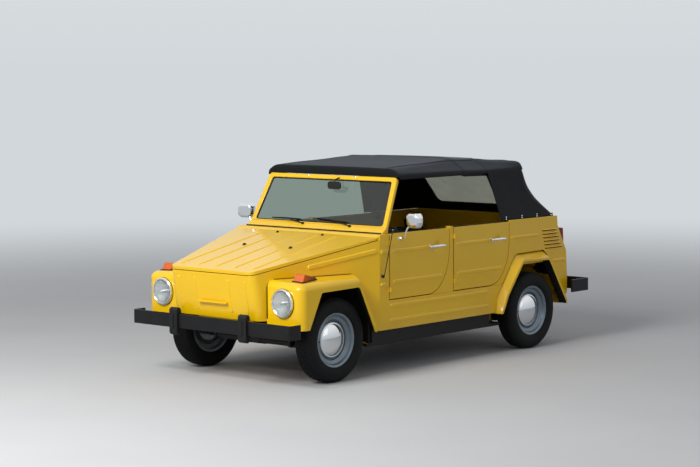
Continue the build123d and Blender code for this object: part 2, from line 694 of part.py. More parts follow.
def rounded_wing(inset):
    """The wing block with its top edges rounded over towards the front and the side."""
    wing = wing_block(inset)
    top = wing.faces().sort_by(Axis.Z)[-1]
    front_line = FENDER_FRONT_X - inset - FENDER_CORNER
    side_line = ARCH_HALF_WIDTH - inset - 5
    rim = [edge for edge in top.edges()
           if edge.center().X > front_line or edge.center().Y > side_line]
    return fillet(rim, WING_ROUND - inset)


def front_fenders():
    wing = rounded_wing(0) - rounded_wing(SKIN)
    arch = rounded(22, (1720, 200), (1638, 450), (1509, 705), (1092, 712), (900, 352),
                   (830, 200))
    wing -= side_plate(arch, 640, OUTSIDE)
    wing -= block((1500, 2000), (0, 1000), (0, FENDER_FOOT))
    wing -= block((0, 2000), (0, 1000), (0, SILL_BOTTOM))
    nose = nose_prism(0)
    wing -= nose
    wing -= block((0, CREASE_X + 0.5), (0, 1000), (0, 2000))
    wing = wing.solids().sort_by(SortBy.VOLUME)[-1]
    return both_sides(wing)


# ---- bumpers ------------------------------------------------------------------------
def beam(front, low, reach, direction):
    """A beam with rounded corners whose ends run back past the wings."""
    half = BEAM_HALF_WIDTH
    tail = front - direction * reach
    skin = BEAM_DEPTH
    outer = FilletPolyline((tail, -half), (front, -half), (front, half), (tail, half),
                           radius=[0, BEAM_CORNER, BEAM_CORNER, 0], close=True)
    inner = FilletPolyline((tail - direction, -half + skin), (front - direction * skin, -half + skin),
                           (front - direction * skin, half - skin), (tail - direction, half - skin),
                           radius=[0, BEAM_CORNER - skin / 2, BEAM_CORNER - skin / 2, 0],
                           close=True)
    high = low + BEAM_HEIGHT
    return level_plate(make_face(outer), low, high) - level_plate(make_face(inner), low - 1, high + 1)


def tow_eye(x, y, top, eye_z):
    """A bored lug under a bumper arm, clear of the beam's returned ends."""
    y_span = (y - TOW_EYE_DEPTH / 2, y + TOW_EYE_DEPTH / 2)
    lug = block((x - 30, x + 30), y_span, (eye_z - 27, top))
    return lug - Pos(x, y, eye_z) * Rot(90, 0, 0) * Cylinder(TOW_EYE_RADIUS, 60)


def front_bumper():
    bar = beam(HALF_LENGTH, FRONT_BEAM_LOW, FRONT_BEAM_RETURN, 1)
    arm_low = FRONT_BEAM_LOW + 60
    for y in (-GUARD_Y, GUARD_Y):
        bar += block((TUB_FRONT_X, HALF_LENGTH - BEAM_DEPTH), (y - 20, y + 20),
                     (arm_low, arm_low + 32))
        bar += tow_eye(FRONT_EYE_X, y, arm_low, FRONT_EYE_Z)
    return bar


def rear_bumper():
    bar = beam(-HALF_LENGTH, REAR_BEAM_LOW, REAR_BEAM_RETURN, -1)
    arm_low = REAR_BEAM_LOW + 22
    for y in (-GUARD_Y, GUARD_Y):
        bar += block((BEAM_DEPTH - HALF_LENGTH, -1661), (y - 20, y + 20), (arm_low, arm_low + 40))
        bar += tow_eye(REAR_EYE_X, y, arm_low, REAR_EYE_Z)
    return bar


def guard(face, low, direction, y):
    """A rubber-faced upright that hooks over the beam's top and bottom edges."""
    high = low + BEAM_HEIGHT
    nose = face + direction * GUARD_PROUD
    back = face - direction * (BEAM_DEPTH + 14)
    top = high + 50
    foot = low - 54
    outer = rounded(26, (nose, foot), (nose, top), (back, top), (back, foot))
    guard_block = side_plate(outer, y - GUARD_WIDTH / 2, y + GUARD_WIDTH / 2)
    slot = corners((face + direction * SEAT_CLEARANCE, low - SEAT_CLEARANCE),
                   (face + direction * SEAT_CLEARANCE, high + SEAT_CLEARANCE),
                   (back - direction * 10, high + SEAT_CLEARANCE),
                   (back - direction * 10, low - SEAT_CLEARANCE))
    return guard_block - side_plate(slot, y - 100, y + 100)


def bumper_guards():
    pieces = []
    for y in (-GUARD_Y, GUARD_Y):
        pieces.append(guard(HALF_LENGTH, FRONT_BEAM_LOW, 1, y))
        pieces.append(guard(-HALF_LENGTH, REAR_BEAM_LOW, -1, y))
    return pieces


# ---- windscreen ---------------------------------------------------------------------
def screen_outline(pillar, header, foot, radius):
    """The screen's outline, moved in by the widths of its frame."""
    foot_half = SCREEN_FOOT_HALF - pillar
    head_half = SCREEN_HEAD_HALF - pillar
    head = SCREEN_LENGTH - header
    return rounded(radius, (-foot_half, foot), (foot_half, foot), (head_half, head),
                   (-head_half, head))


def screen_slab(outline, front, back):
    """A slab behind the windscreen's front plane, between two depths."""
    plane = SCREEN_PLANE
    behind = plane.z_dir if plane.z_dir.X < 0 else plane.z_dir * -1
    face = plane * outline
    face = face.moved(Location(behind * front))
    return extrude(face, back - front, dir=behind)


def windshield_frame():
    frame = screen_slab(screen_outline(0, 0, 0, 30), 0, SCREEN_DEPTH)
    hole = screen_outline(SCREEN_PILLAR, SCREEN_HEADER, SCREEN_FOOT, 22)
    frame -= screen_slab(hole, -10, SCREEN_DEPTH + 10)
    seat = BELT_HEIGHT + SEAT_CLEARANCE
    rail = corners((731, seat), (655, seat), (652, 1122), (676, 1126), (722, 1092))
    return frame + side_plate(rail, -SCREEN_FOOT_HALF, SCREEN_FOOT_HALF)


def windshield_glass():
    outline = screen_outline(SCREEN_PILLAR + SEAT_CLEARANCE, SCREEN_HEADER + SEAT_CLEARANCE,
                             SCREEN_FOOT + SEAT_CLEARANCE, 22)
    return screen_slab(outline, GLASS_SETBACK, GLASS_SETBACK + GLASS_THICKNESS)


# ---- fabric top ---------------------------------------------------------------------
def roof_section(x, shoulder, edge_z, inset):
    """A cross-section: a nearly flat middle, a slope to each side, and an upright hem."""
    half = ROOF_HALF_WIDTH - inset
    flat = shoulder[0] - inset / 2
    high = shoulder[1] - inset
    low = VALANCE_Z - (80 if inset else 0)
    crown = ThreePointArc((-flat, high), (0, high + ROOF_CROWN), (flat, high))
    rest = Polyline((flat, high), (half, edge_z - inset / 2), (half, low), (-half, low),
                    (-half, edge_z - inset / 2), (-flat, high))
    plane = Plane(origin=(x, 0, 0), x_dir=(0, 1, 0), z_dir=(1, 0, 0))
    return plane * make_face([*crown.edges(), *rest.edges()])


def roof_block(inset):
    """The roof from the screen's header back to the rear bow, straight between the bows."""
    stations = [(SCREEN_HEAD_X - 6 - inset, HEADER_SHOULDER, HEADER_EDGE_Z),
                (FRONT_BOW_X, FRONT_BOW_SHOULDER, FRONT_BOW_EDGE_Z),
                (MAIN_BOW_X, MAIN_BOW_SHOULDER, MAIN_BOW_EDGE_Z),
                (REAR_BOW_X + inset, REAR_BOW_SHOULDER, REAR_BOW_EDGE_Z)]
    sections = [roof_section(*station, inset) for station in stations]
    roof = None
    for ahead, behind in zip(sections, sections[1:]):
        span = loft([ahead, behind], ruled=True)
        roof = span if roof is None else roof + span
    return roof


def curtain_section(z, front, rear, half, corner):
    outline = FilletPolyline((front, -half), (front, half), (rear, half), (rear, -half),
                             radius=[0, 0, corner, corner], close=True)
    return Pos(0, 0, z) * make_face(outline)


def rear_hull(inset):
    """The top behind the main bow: its rear corners draw in between the bow and the body."""
    share = (CURTAIN_TOP_Z - CURTAIN_MIDDLE_Z) / (CURTAIN_TOP_Z - TOP_BASE_Z)
    top_front = MAIN_BOW_X + 14
    top_rear = REAR_BOW_X - 8
    top_half = ROOF_HALF_WIDTH
    middle_front = top_front + share * (TOP_FRONT_FOOT_X - top_front)
    middle_rear = top_rear + share * (TOP_REAR_X - top_rear)
    middle_half = top_half + share * (CURTAIN_BASE_HALF - top_half)
    top = curtain_section(CURTAIN_TOP_Z, top_front, top_rear + inset, top_half - inset, 30)
    middle = curtain_section(CURTAIN_MIDDLE_Z, middle_front, middle_rear + inset,
                             middle_half - inset, 160 - inset)
    base = curtain_section(TOP_BASE_Z, TOP_FRONT_FOOT_X, TOP_REAR_X + inset,
                           CURTAIN_BASE_HALF - inset, 24)
    return loft([top, middle], ruled=True) + loft([middle, base], ruled=True)


def window_hole(margin):
    outline = rounded(36, (-WINDOW_HALF_WIDTH - margin, WINDOW_LOW - margin),
                      (WINDOW_HALF_WIDTH + margin, WINDOW_LOW - margin),
                      (WINDOW_HALF_WIDTH + margin, WINDOW_HIGH + margin),
                      (-WINDOW_HALF_WIDTH - margin, WINDOW_HIGH + margin))
    return cross_plate(outline, -1700, -1000)


def soft_top():
    """The fabric: a roof open at the sides, and a hull round the luggage space."""
    inside = ROOF_HALF_WIDTH - CLOTH
    roof = roof_block(0) - roof_block(CLOTH)
    hull = rear_hull(0) - rear_hull(CLOTH)
    hull -= block((-800, -500), (-inside, inside), (1000, 1530))
    rear_of_roof = block((-1200, MAIN_BOW_X - 50), (-ROOF_HALF_WIDTH - 5, ROOF_HALF_WIDTH + 5),
                         (1400, CURTAIN_TOP_Z))
    top = (roof - rear_of_roof) + hull
    header = block((400, 600), (-900, 900), (1400, SCREEN_HEAD_Z + SEAT_CLEARANCE))
    between = block((REAR_BOW_X + CLOTH, MAIN_BOW_X + 14), (-650, 650), (1400, 1540))
    return top - header - window_hole(0) - between


def rear_window():
    hull = rear_hull(2) - rear_hull(8)
    pane = hull & window_hole(-SEAT_CLEARANCE)
    return pane.solids().sort_by(Axis.X)[0]


def top_bows():
    """Three steel hoops under the fabric, hinged together on the body sides."""
    inside = ROOF_HALF_WIDTH - CLOTH - BOW_RADIUS - 5
    pivot_y = SIDE_INNER - 30
    main_x = MAIN_BOW_X - 22
    rear_x = REAR_BOW_X + 48
    flat = MAIN_BOW_SHOULDER[0] - 22
    pivot = (BOW_PIVOT_X, pivot_y, BOW_PIVOT_Z)
    main = [pivot, (main_x, inside, 1478), (main_x, flat, 1578)]
    rear = [pivot, (rear_x, inside, 1524)]
    front = [(main_x, inside, 1478), (FRONT_BOW_X, inside, 1484), (FRONT_BOW_X, flat, 1590)]
    hoops = None
    for half_route, bend in ((main, 40), (rear, 60), (front, 40)):
        route = half_route + [(x, -y, z) for x, y, z in half_route[::-1]]
        hoop = bent_rod(route, bend, BOW_RADIUS)
        hoops = hoop if hoops is None else hoops + hoop
    for side in (-1, 1):
        start = (BOW_PIVOT_X, side * (pivot_y - 14), BOW_PIVOT_Z)
        end = (BOW_PIVOT_X, side * (SIDE_INNER - SEAT_CLEARANCE), BOW_PIVOT_Z)
        hoops += rod(start, end, 21)
    return hoops


# ---- cabin --------------------------------------------------------------------------
def dashboard():
    outline = corners((FRONT_DOOR_X + PANEL_GAP, 1039), (FRONT_DOOR_X + PANEL_GAP, 900),
                      (660, 880), (640, 880), (626, 1030), (640, 1060), (655, 1075),
                      (FRONT_DOOR_X + PANEL_GAP - 0.5, 1075))
    return side_plate(outline, -700, 700)


def steering_axis():
    rake = math.radians(STEERING_RAKE)
    return Vector(-math.cos(rake), 0, math.sin(rake))


def steering_column():
    hub = Vector(STEERING_HUB_X, STEERING_Y, STEERING_HUB_Z)
    axis = steering_axis()
    start = hub - axis * 620
    end = hub - axis * 40
    column = rod(start.to_tuple(), end.to_tuple(), 24)
    shaft = rod(end.to_tuple(), (hub - axis * 2).to_tuple(), 10)
    behind_wall = block((BULKHEAD_X, 1200), (0, 800), (200, 900))
    return column + shaft - behind_wall


def steering_wheel():
    hub = Vector(STEERING_HUB_X, STEERING_Y, STEERING_HUB_Z)
    axis = steering_axis()
    grip = STEERING_RADIUS - RIM_GRIP
    wheel = Rot(0, 45, 0) * revolve(Pos(grip, 20, 0) * Circle(RIM_GRIP), axis=Axis.Y)
    wheel += Rot(0, 45, 0) * revolve(Pos(17, 8, 0) * Rectangle(34, 30), axis=Axis.Y)
    for angle in (0, 90, 180):
        turn = math.radians(angle)
        end = (grip * math.cos(turn), 20, grip * math.sin(turn))
        wheel += rod((0, 10, 0), end, 8)
    wheel -= Rot(90, 0, 0) * Cylinder(10 + PIN_CLEARANCE, 16)
    plane = Plane(origin=hub, x_dir=(0, -1, 0), z_dir=Vector(0, -1, 0).cross(axis))
    return plane.location * wheel


def bucket_seat(y):
    base = block((60, 440), (y - 190, y + 190), (FLOOR_LOW + FLOOR_SHEET, 430))
    cushion = Pos(250, y, 495) * Box(500, 470, 130)
    cushion = fillet(cushion.edges(), 30)
    back = Pos(-62, y, 800) * Rot(0, -14, 0) * Box(96, 470, 560)
    back = fillet(back.edges(), 30)
    return base + cushion + back


def front_seats():
    pieces = []
    for y in (-STEERING_Y, STEERING_Y):
        pieces.append(bucket_seat(y))
    return pieces


def rear_seat():
    floor_top = FLOOR_LOW + FLOOR_SHEET
    half = 600
    base = block((-700, -330), (-half + 20, half - 20), (TUNNEL_TOP, 420))
    base += block((-700, -330), (TUNNEL_HALF_WIDTH + 5, half - 20), (floor_top, TUNNEL_TOP))
    base += block((-700, -330), (-half + 20, -TUNNEL_HALF_WIDTH - 5), (floor_top, TUNNEL_TOP))
    cushion = fillet((Pos(-500, 0, 480) * Box(480, 2 * half, 120)).edges(), 28)
    back = fillet((Pos(-715, 0, 760) * Rot(0, -10, 0) * Box(90, 2 * half, 480)).edges(), 28)
    return base + cushion + back


# ---- running gear -------------------------------------------------------------------
def front_axle():
    """Twin tubes with trailing arms that end in the kingpin yokes."""
    beam_x = AXLE_BEAM_X
    gear = None
    for z in (285, 400):
        tube = rod((beam_x, -400, z), (beam_x, 400, z), 28)
        gear = tube if gear is None else gear + tube
    for y in (-250, 250):
        gear += block((beam_x - 14, beam_x + 14), (y - 12, y + 12), (290, 398))
    gear += block((beam_x - 34, beam_x + 30), (-TUNNEL_HALF_WIDTH, TUNNEL_HALF_WIDTH), (257, 428))
    for side in (-1, 1):
        inner = sorted((side * 385, side * 410))
        gear += block((beam_x - 34, beam_x + 34), inner, (257, 428))
        for z in (250, 390):
            outline = corners((beam_x + 20, side * 390), (beam_x - 40, side * 390),
                              (FRONT_AXLE_X - 26, side * (KINGPIN_Y - 60)),
                              (FRONT_AXLE_X - 26, side * (KINGPIN_Y + 14)),
                              (FRONT_AXLE_X + 26, side * (KINGPIN_Y + 14)),
                              (FRONT_AXLE_X + 26, side * (KINGPIN_Y - 60)))
            gear += level_plate(outline, z, z + 24)
        gear += rod((FRONT_AXLE_X, side * KINGPIN_Y, 252), (FRONT_AXLE_X, side * KINGPIN_Y, 412),
                    KINGPIN_RADIUS)
    return gear


def knuckle():
    """The steered block: bored for the kingpin, with the stub that the wheel turns on."""
    low = 274 + SEAT_CLEARANCE
    high = 390 - SEAT_CLEARANCE
    block_part = Pos(FRONT_AXLE_X, KINGPIN_Y, (low + high) / 2) * Cylinder(26, high - low)
    stub = rod((FRONT_AXLE_X, KINGPIN_Y, TYRE_RADIUS),
               (FRONT_AXLE_X, FRONT_HALF_TRACK + 22, TYRE_RADIUS), STUB_RADIUS)
    arm = block((FRONT_AXLE_X - 120, FRONT_AXLE_X), (KINGPIN_Y - 18, KINGPIN_Y - 2), (310, 330))
    bore = Pos(FRONT_AXLE_X, KINGPIN_Y, TYRE_RADIUS) * Cylinder(KINGPIN_RADIUS + PIN_CLEARANCE, 300)
    return block_part + stub + arm - bore


def rear_axle():
    """Gearbox and half-shaft tubes with the rear stubs."""
    box = block((-1250, -960), (-110, 110), (235, 430))
    box += rod((-960, 0, 320), (REAR_BULKHEAD_X - 20, 0, 320), 62)
    tube = rod((REAR_AXLE_X, -618, TYRE_RADIUS), (REAR_AXLE_X, 618, TYRE_RADIUS), 38)
    half = REAR_HALF_TRACK + 22
    stubs = rod((REAR_AXLE_X, -half, TYRE_RADIUS), (REAR_AXLE_X, half, TYRE_RADIUS), STUB_RADIUS)
    return box + tube + stubs


def engine():
    case = block((ENGINE_REAR, -1250), (-150, 150), (240, 640))
    banks = block((-1500, -1290), (-370, 370), (300, 470))
    return case + banks


def exhaust():
    x = -1625
    z = 284
    box = rod((x, -300, z), (x, 300, z), 50)
    for y in (-110, 110):
        box += rod((x, y, z), (ENGINE_REAR, y, z), 22)
    tail = bent_rod([(x, 280, z), (x, 380, z), (x - 150, 392, z - 4)], 45, 17)
    return box + tail


def tyre():
    """A radial tyre's section turned about the axle, with the axle along Y."""
    half = TYRE_HALF_WIDTH
    seat = RIM_RADIUS + SEAT_CLEARANCE
    lip = RIM_HALF_WIDTH - 6
    tread = TYRE_RADIUS
    shoulder = tread - 14
    mid = (seat + shoulder) / 2 + 4
    right = ThreePointArc((seat + RIM_FLANGE, lip + 4), (mid, half), (shoulder, half - 16))
    round_over = ThreePointArc((shoulder, half - 16), (tread - 4, half - 22), (tread, half - 32))
    tread_line = Polyline((tread, half - 32), (tread, 32 - half))
    inner_round = ThreePointArc((tread, 32 - half), (tread - 4, 22 - half), (shoulder, 16 - half))
    left = ThreePointArc((shoulder, 16 - half), (mid, -half), (seat + RIM_FLANGE, -lip - 4))
    inside = Polyline((seat + RIM_FLANGE, -lip - 4), (seat + RIM_FLANGE, -lip + 3), (seat, -lip + 3),
                      (seat, -lip + 16), (mid - 10, -half + 14), (tread - 16, 34 - half),
                      (tread - 16, half - 34), (mid - 10, half - 14), (seat, lip - 16),
                      (seat, lip - 3), (seat + RIM_FLANGE, lip - 3), (seat + RIM_FLANGE, lip + 4))
    edges = [*right.edges(), *round_over.edges(), *tread_line.edges(), *inner_round.edges(),
             *left.edges(), *inside.edges()]
    return revolve(make_face(edges), axis=Axis.Y)


def road_wheel():
    """A pressed steel wheel with a domed cap, the axle along Y and its face at +Y."""
    half = RIM_HALF_WIDTH
    seat = RIM_RADIUS
    flange = RIM_RADIUS + RIM_FLANGE
    well = 158.0
    gauge = 6.0
    outline = corners(
        (flange, half), (flange, half - gauge), (seat, half - gauge - 2), (seat, 26), (well, 18),
        (well, -18), (seat, -26), (seat, gauge + 2 - half), (flange, gauge - half),
        (flange, -half), (seat - gauge, -half), (seat - gauge, -30), (well - gauge, -24),
        (well - gauge, 2), (140, 6), (112, 24), (60, 18), (60, -26), (DRUM_RADIUS, -26),
        (DRUM_RADIUS, -36), (STUB_RADIUS + PIN_CLEARANCE, -36), (STUB_RADIUS + PIN_CLEARANCE, 25),
        (30, 25), (30, 26), (112, 30), (144, 12), (well - gauge, 8), (well - gauge, 24),
        (seat - gauge, 30), (seat - gauge, half))
    wheel = revolve(outline, axis=Axis.Y)
    rise = 34
    sides = Polyline((30 + rise, 0), (30.3, 0), (30.3, 112), (24, HUBCAP_RADIUS), (30, HUBCAP_RADIUS))
    profile = make_face([*sides.edges(), *dome_arc(30, HUBCAP_RADIUS, rise).edges()])
    cap = Rot(0, 0, 90) * revolve(profile, axis=Axis.X)
    return wheel, cap


def place_wheel(shape, x, half_track, side):
    """Put a wheel at a corner of the car with its face outwards."""
    placed = Pos(x, half_track, TYRE_RADIUS) * shape
    return placed if side > 0 else mirrored(placed)


# ---- lamps --------------------------------------------------------------------------
def headlight():
    depth = HEADLIGHT_DEPTH
    radius = HEADLIGHT_RADIUS
    glass = radius - 15
    ring = Polyline((0, 0), (0, radius), (depth - 11, radius))
    brim = ThreePointArc((depth - 11, radius), (depth - 3, radius - 3), (depth, radius - 10))
    seat = Polyline((depth, radius - 10), (depth - 4, glass))
    lens = dome_arc(depth - 4, glass, LENS_RISE)
    back = Polyline((depth - 4 + LENS_RISE, 0), (0, 0))
    edges = [edge for line in (ring, brim, seat, lens, back) for edge in line.edges()]
    lamp = revolve(make_face(edges), axis=Axis.X)
    return Pos(FENDER_FRONT_X + SEAT_CLEARANCE, HEADLIGHT_Y, HEADLIGHT_Z) * lamp


def turn_signal():
    """A wedge on the wing top: its face leans back, its tail is low and narrow."""
    plan = level_plate(corners((1652, 653), (1652, 758), (1452, 708), (1452, 662)), 700, 900)
    wedge = corners((1652, 700), (1652, 784), (1618, 846), (1452, 808), (1452, 700))
    lamp = plan & side_plate(wedge, 600, OUTSIDE)
    return lamp - Pos(0, 0, SEAT_CLEARANCE) * wing_block(0)


def tail_light():
    """A lamp with an upright face, wedged on the sloping corner of the tail."""
    outline = corners((-1500, 992), (TAIL_LAMP_X + 12, 976), (TAIL_LAMP_X, 800), (-1500, 792))
    body_side = corners(*[(x - SEAT_CLEARANCE, z) for x, z in QUARTER_REAR],
                        (-1000, 341), (-1000, RAIL_HEIGHT))
    lamp = side_plate(outline, TAIL_LAMP_Y - TAIL_LAMP_HALF_WIDTH, TAIL_LAMP_Y + TAIL_LAMP_HALF_WIDTH)
    lamp = fillet(lamp.faces().sort_by(Axis.X)[0].edges(), 14)
    return lamp - side_plate(body_side, 500, 800)


def aerial():
    """A whip that stands in a round foot on the cowl side."""
    whip_y = BODY_HALF_WIDTH + 24
    whip = rod((768, whip_y, 772), (667, whip_y, 1113), 3.5)
    ball = Pos(770, BODY_HALF_WIDTH + 12, 763) * Sphere(13)
    return whip + ball - block((0, 1500), (0, BODY_HALF_WIDTH + SEAT_CLEARANCE), (0, 2000))


def build():
    os.makedirs("parts", exist_ok=True)
    save("floor_pan", floor_pan())
    save("front_bulkhead", front_bulkhead())
    save("front_tub", front_tub())
    save("rear_deck", rear_deck())
    save("sills", *sills())
    save("door_posts", *door_posts())
    save("door_hinges", *[shape for hinge in body_hinges() for shape in both_sides(hinge)])
    save("quarter_panels", *quarter_panels())
    save("rear_flares", *rear_flares())
    save("rear_panel", rear_panel())
    save("engine_lid", engine_lid())
    save("nose_panel", nose_panel())
    save("hood_seal", hood_seal())
    save("latch_bar", latch_bar())
    save("hood", hood())
    save("cowl_panel", cowl_panel())
    save("front_fenders", *front_fenders())
    save("front_bumper", front_bumper())
    save("rear_bumper", rear_bumper())
    save("bumper_guards", *bumper_guards())
    save("windshield_frame", windshield_frame())
    save("windshield_glass", windshield_glass())
    save("soft_top", soft_top())
    save("rear_window", rear_window())
    save("top_bows", top_bows())
    save("dashboard", dashboard())
    save("steering_column", steering_column())
    save("steering_wheel", steering_wheel())
    save("front_seats", *front_seats())
    save("rear_seat", rear_seat())
    save("front_axle", front_axle())
    save("rear_axle", rear_axle())
    save("engine", engine())
    save("exhaust", exhaust())
    save("headlights", *both_sides(headlight()))
    save("turn_signals", *both_sides(turn_signal()))
    save("tail_lights", *both_sides(tail_light()))
    save("aerial", aerial())
    wheel, cap = road_wheel()
    rubber = tyre()
    for side, side_name in ((1, "left"), (-1, "right")):
        door = door_panel(FRONT_DOOR_X)
        rear_door = door_panel(REAR_DOOR_X)
        handle = door_handle(FRONT_DOOR_X)
        rear_handle = door_handle(REAR_DOOR_X)
        mirror_piece = door_mirror()
        steered = knuckle()
        moving = {"front_door": door, "rear_door": rear_door, "front_handle": handle,
                  "rear_handle": rear_handle, "mirror": mirror_piece, "knuckle": steered}
        for name, shape in moving.items():
            save(f"{name}_{side_name}", shape if side > 0 else mirrored(shape))
        for end, x, track in (("front", FRONT_AXLE_X, FRONT_HALF_TRACK),
                              ("rear", REAR_AXLE_X, REAR_HALF_TRACK)):
            rim = place_wheel(wheel, x, track, side)
            dome = place_wheel(cap, x, track, side)
            save(f"wheel_{end}_{side_name}", rim, dome)
            save(f"tyre_{end}_{side_name}", place_wheel(rubber, x, track, side))


build()
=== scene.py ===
import json
import math

import bmesh
import bpy
from mathutils import Matrix, Vector, noise
from mathutils.bvhtree import BVHTree

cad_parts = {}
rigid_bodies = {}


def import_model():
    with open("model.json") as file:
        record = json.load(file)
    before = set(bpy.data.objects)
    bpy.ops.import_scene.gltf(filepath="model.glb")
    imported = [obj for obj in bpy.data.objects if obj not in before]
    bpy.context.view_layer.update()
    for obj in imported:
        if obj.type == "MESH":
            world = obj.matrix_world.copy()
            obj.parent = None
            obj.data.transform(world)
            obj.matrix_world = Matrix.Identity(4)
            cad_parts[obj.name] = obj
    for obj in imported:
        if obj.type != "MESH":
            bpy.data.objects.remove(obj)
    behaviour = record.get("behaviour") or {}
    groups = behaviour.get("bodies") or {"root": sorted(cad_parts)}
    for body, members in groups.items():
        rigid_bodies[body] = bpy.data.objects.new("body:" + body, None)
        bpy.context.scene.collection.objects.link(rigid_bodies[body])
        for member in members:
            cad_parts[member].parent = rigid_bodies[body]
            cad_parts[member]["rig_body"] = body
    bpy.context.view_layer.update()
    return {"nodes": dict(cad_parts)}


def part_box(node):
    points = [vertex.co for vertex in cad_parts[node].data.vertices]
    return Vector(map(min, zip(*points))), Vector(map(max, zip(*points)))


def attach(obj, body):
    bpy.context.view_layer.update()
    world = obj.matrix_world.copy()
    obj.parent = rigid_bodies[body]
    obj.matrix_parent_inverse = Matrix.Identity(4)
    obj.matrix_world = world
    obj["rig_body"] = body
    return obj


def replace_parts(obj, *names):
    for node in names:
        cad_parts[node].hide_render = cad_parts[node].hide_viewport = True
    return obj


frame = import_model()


# ---- camera ---------------------------------------------------------------------------
# A long lens set up well in front of the car's left front corner, 0.7 m above its roof,
# so that the nose, the left side and the front of the top show.
LENS_PLACE = Vector((12.082, 10.510, 2.346))
HEADING = math.radians(-138.317)
TILT = math.radians(-4.796)
LEAN = math.radians(-0.322)
FOCAL_LENGTH = 101.0

forward = Vector((math.cos(TILT) * math.cos(HEADING), math.cos(TILT) * math.sin(HEADING),
                  math.sin(TILT)))
level_right = forward.cross(Vector((0, 0, 1))).normalized()
level_up = level_right.cross(forward)
right = math.cos(LEAN) * level_right + math.sin(LEAN) * level_up
up = math.cos(LEAN) * level_up - math.sin(LEAN) * level_right
camera = bpy.data.objects.new("camera", bpy.data.cameras.new("camera"))
bpy.context.scene.collection.objects.link(camera)
camera.matrix_world = Matrix.Translation(LENS_PLACE) @ Matrix((right, up, -forward)).transposed().to_4x4()
camera.data.sensor_width = 36
camera.data.lens = FOCAL_LENGTH
camera.data.clip_end = 400
bpy.context.scene.camera = camera


# ---- studio ---------------------------------------------------------------------------
# A pale painted floor that runs off to a white surround, one broad soft lamp high in front
# of the nose and a weak one on the left, so that the sides stay deeper than the nose.
def linear(hex_colour):
    """The linear colour for a written sRGB one."""
    channels = [int(hex_colour[i:i + 2], 16) / 255 for i in (1, 3, 5)]
    return tuple(c / 12.92 if c < 0.04045 else ((c + 0.055) / 1.055) ** 2.4 for c in channels) + (1,)


def add(tree, kind, inputs=(), **settings):
    """Add a node with its settings; an input is given a value or another node's output."""
    node = tree.nodes.new(kind)
    for name, value in settings.items():
        setattr(node, name, value)
    for name, value in dict(inputs).items():
        if isinstance(value, bpy.types.NodeSocket):
            tree.links.new(value, node.inputs[name])
        else:
            node.inputs[name].default_value = value
    return node


def new_finish(name, **surface):
    """A material with one Principled shader, its own sockets set by name."""
    material = bpy.data.materials.new(name)
    material.use_nodes = True
    shader = material.node_tree.nodes["Principled BSDF"]
    for socket, value in surface.items():
        shader.inputs[socket.replace("_", " ")].default_value = value
    return material, material.node_tree, shader


def new_piece(name, vertices, faces, finish=None, edges=()):
    """A mesh object in the shared frame, linked to the scene."""
    mesh = bpy.data.meshes.new(name)
    mesh.from_pydata([tuple(v) for v in vertices], edges, faces)
    piece = bpy.data.objects.new(name, mesh)
    bpy.context.scene.collection.objects.link(piece)
    if finish:
        mesh.materials.append(finish)
    return piece


def room_rays(tree):
    """The share of rays that see the white room itself: from the lens, a gloss or a glass."""
    rays = add(tree, "ShaderNodeLightPath").outputs
    sharp = add(tree, "ShaderNodeMath", {0: rays["Is Camera Ray"], 1: rays["Is Glossy Ray"]},
                operation="MAXIMUM")
    return add(tree, "ShaderNodeMath", {0: sharp.outputs[0], 1: rays["Is Transmission Ray"]},
               operation="MAXIMUM").outputs[0]


def painted_floor():
    """Matt pale grey emulsion on concrete: a faint mottle, no gloss, lost in the white far off."""
    material, tree, shader = new_finish("emulsion_floor", Roughness=0.85)
    place = add(tree, "ShaderNodeTexCoord").outputs["Object"]
    mottle = add(tree, "ShaderNodeTexNoise", {"Vector": place, "Scale": 0.9, "Detail": 6.0})
    tone = add(tree, "ShaderNodeMix", {"Factor": mottle.outputs["Fac"], "A": linear("#C6C7C8"),
                                       "B": linear("#D2D2D1")}, data_type="RGBA")
    tree.links.new(tone.outputs["Result"], shader.inputs["Base Color"])
    reach = add(tree, "ShaderNodeVectorMath", {0: place}, operation="LENGTH")
    far = add(tree, "ShaderNodeMapRange", {"Value": reach.outputs["Value"], "From Min": 3.5,
                                           "From Max": 16.0}, interpolation_type="SMOOTHSTEP")
    share = add(tree, "ShaderNodeMath", {0: far.outputs["Result"], 1: room_rays(tree)}, operation="MULTIPLY")
    white = add(tree, "ShaderNodeEmission", {"Color": linear("#D2D7DB"), "Strength": 1.0})
    mixed = add(tree, "ShaderNodeMixShader", {"Fac": share.outputs[0], 1: shader.outputs[0],
                                              2: white.outputs[0]})
    tree.links.new(mixed.outputs[0], tree.nodes["Material Output"].inputs["Surface"])
    return material


def soft_lamp(name, place, target, size, power):
    """A square lamp that faces a point on the car."""
    lamp = bpy.data.objects.new(name, bpy.data.lights.new(name, "AREA"))
    bpy.context.scene.collection.objects.link(lamp)
    lamp.data.shape = "SQUARE"
    lamp.data.size = size
    lamp.data.energy = power
    lamp.matrix_world = (Matrix.Translation(place)
                         @ (Vector(target) - Vector(place)).to_track_quat("-Z", "Y").to_matrix().to_4x4())


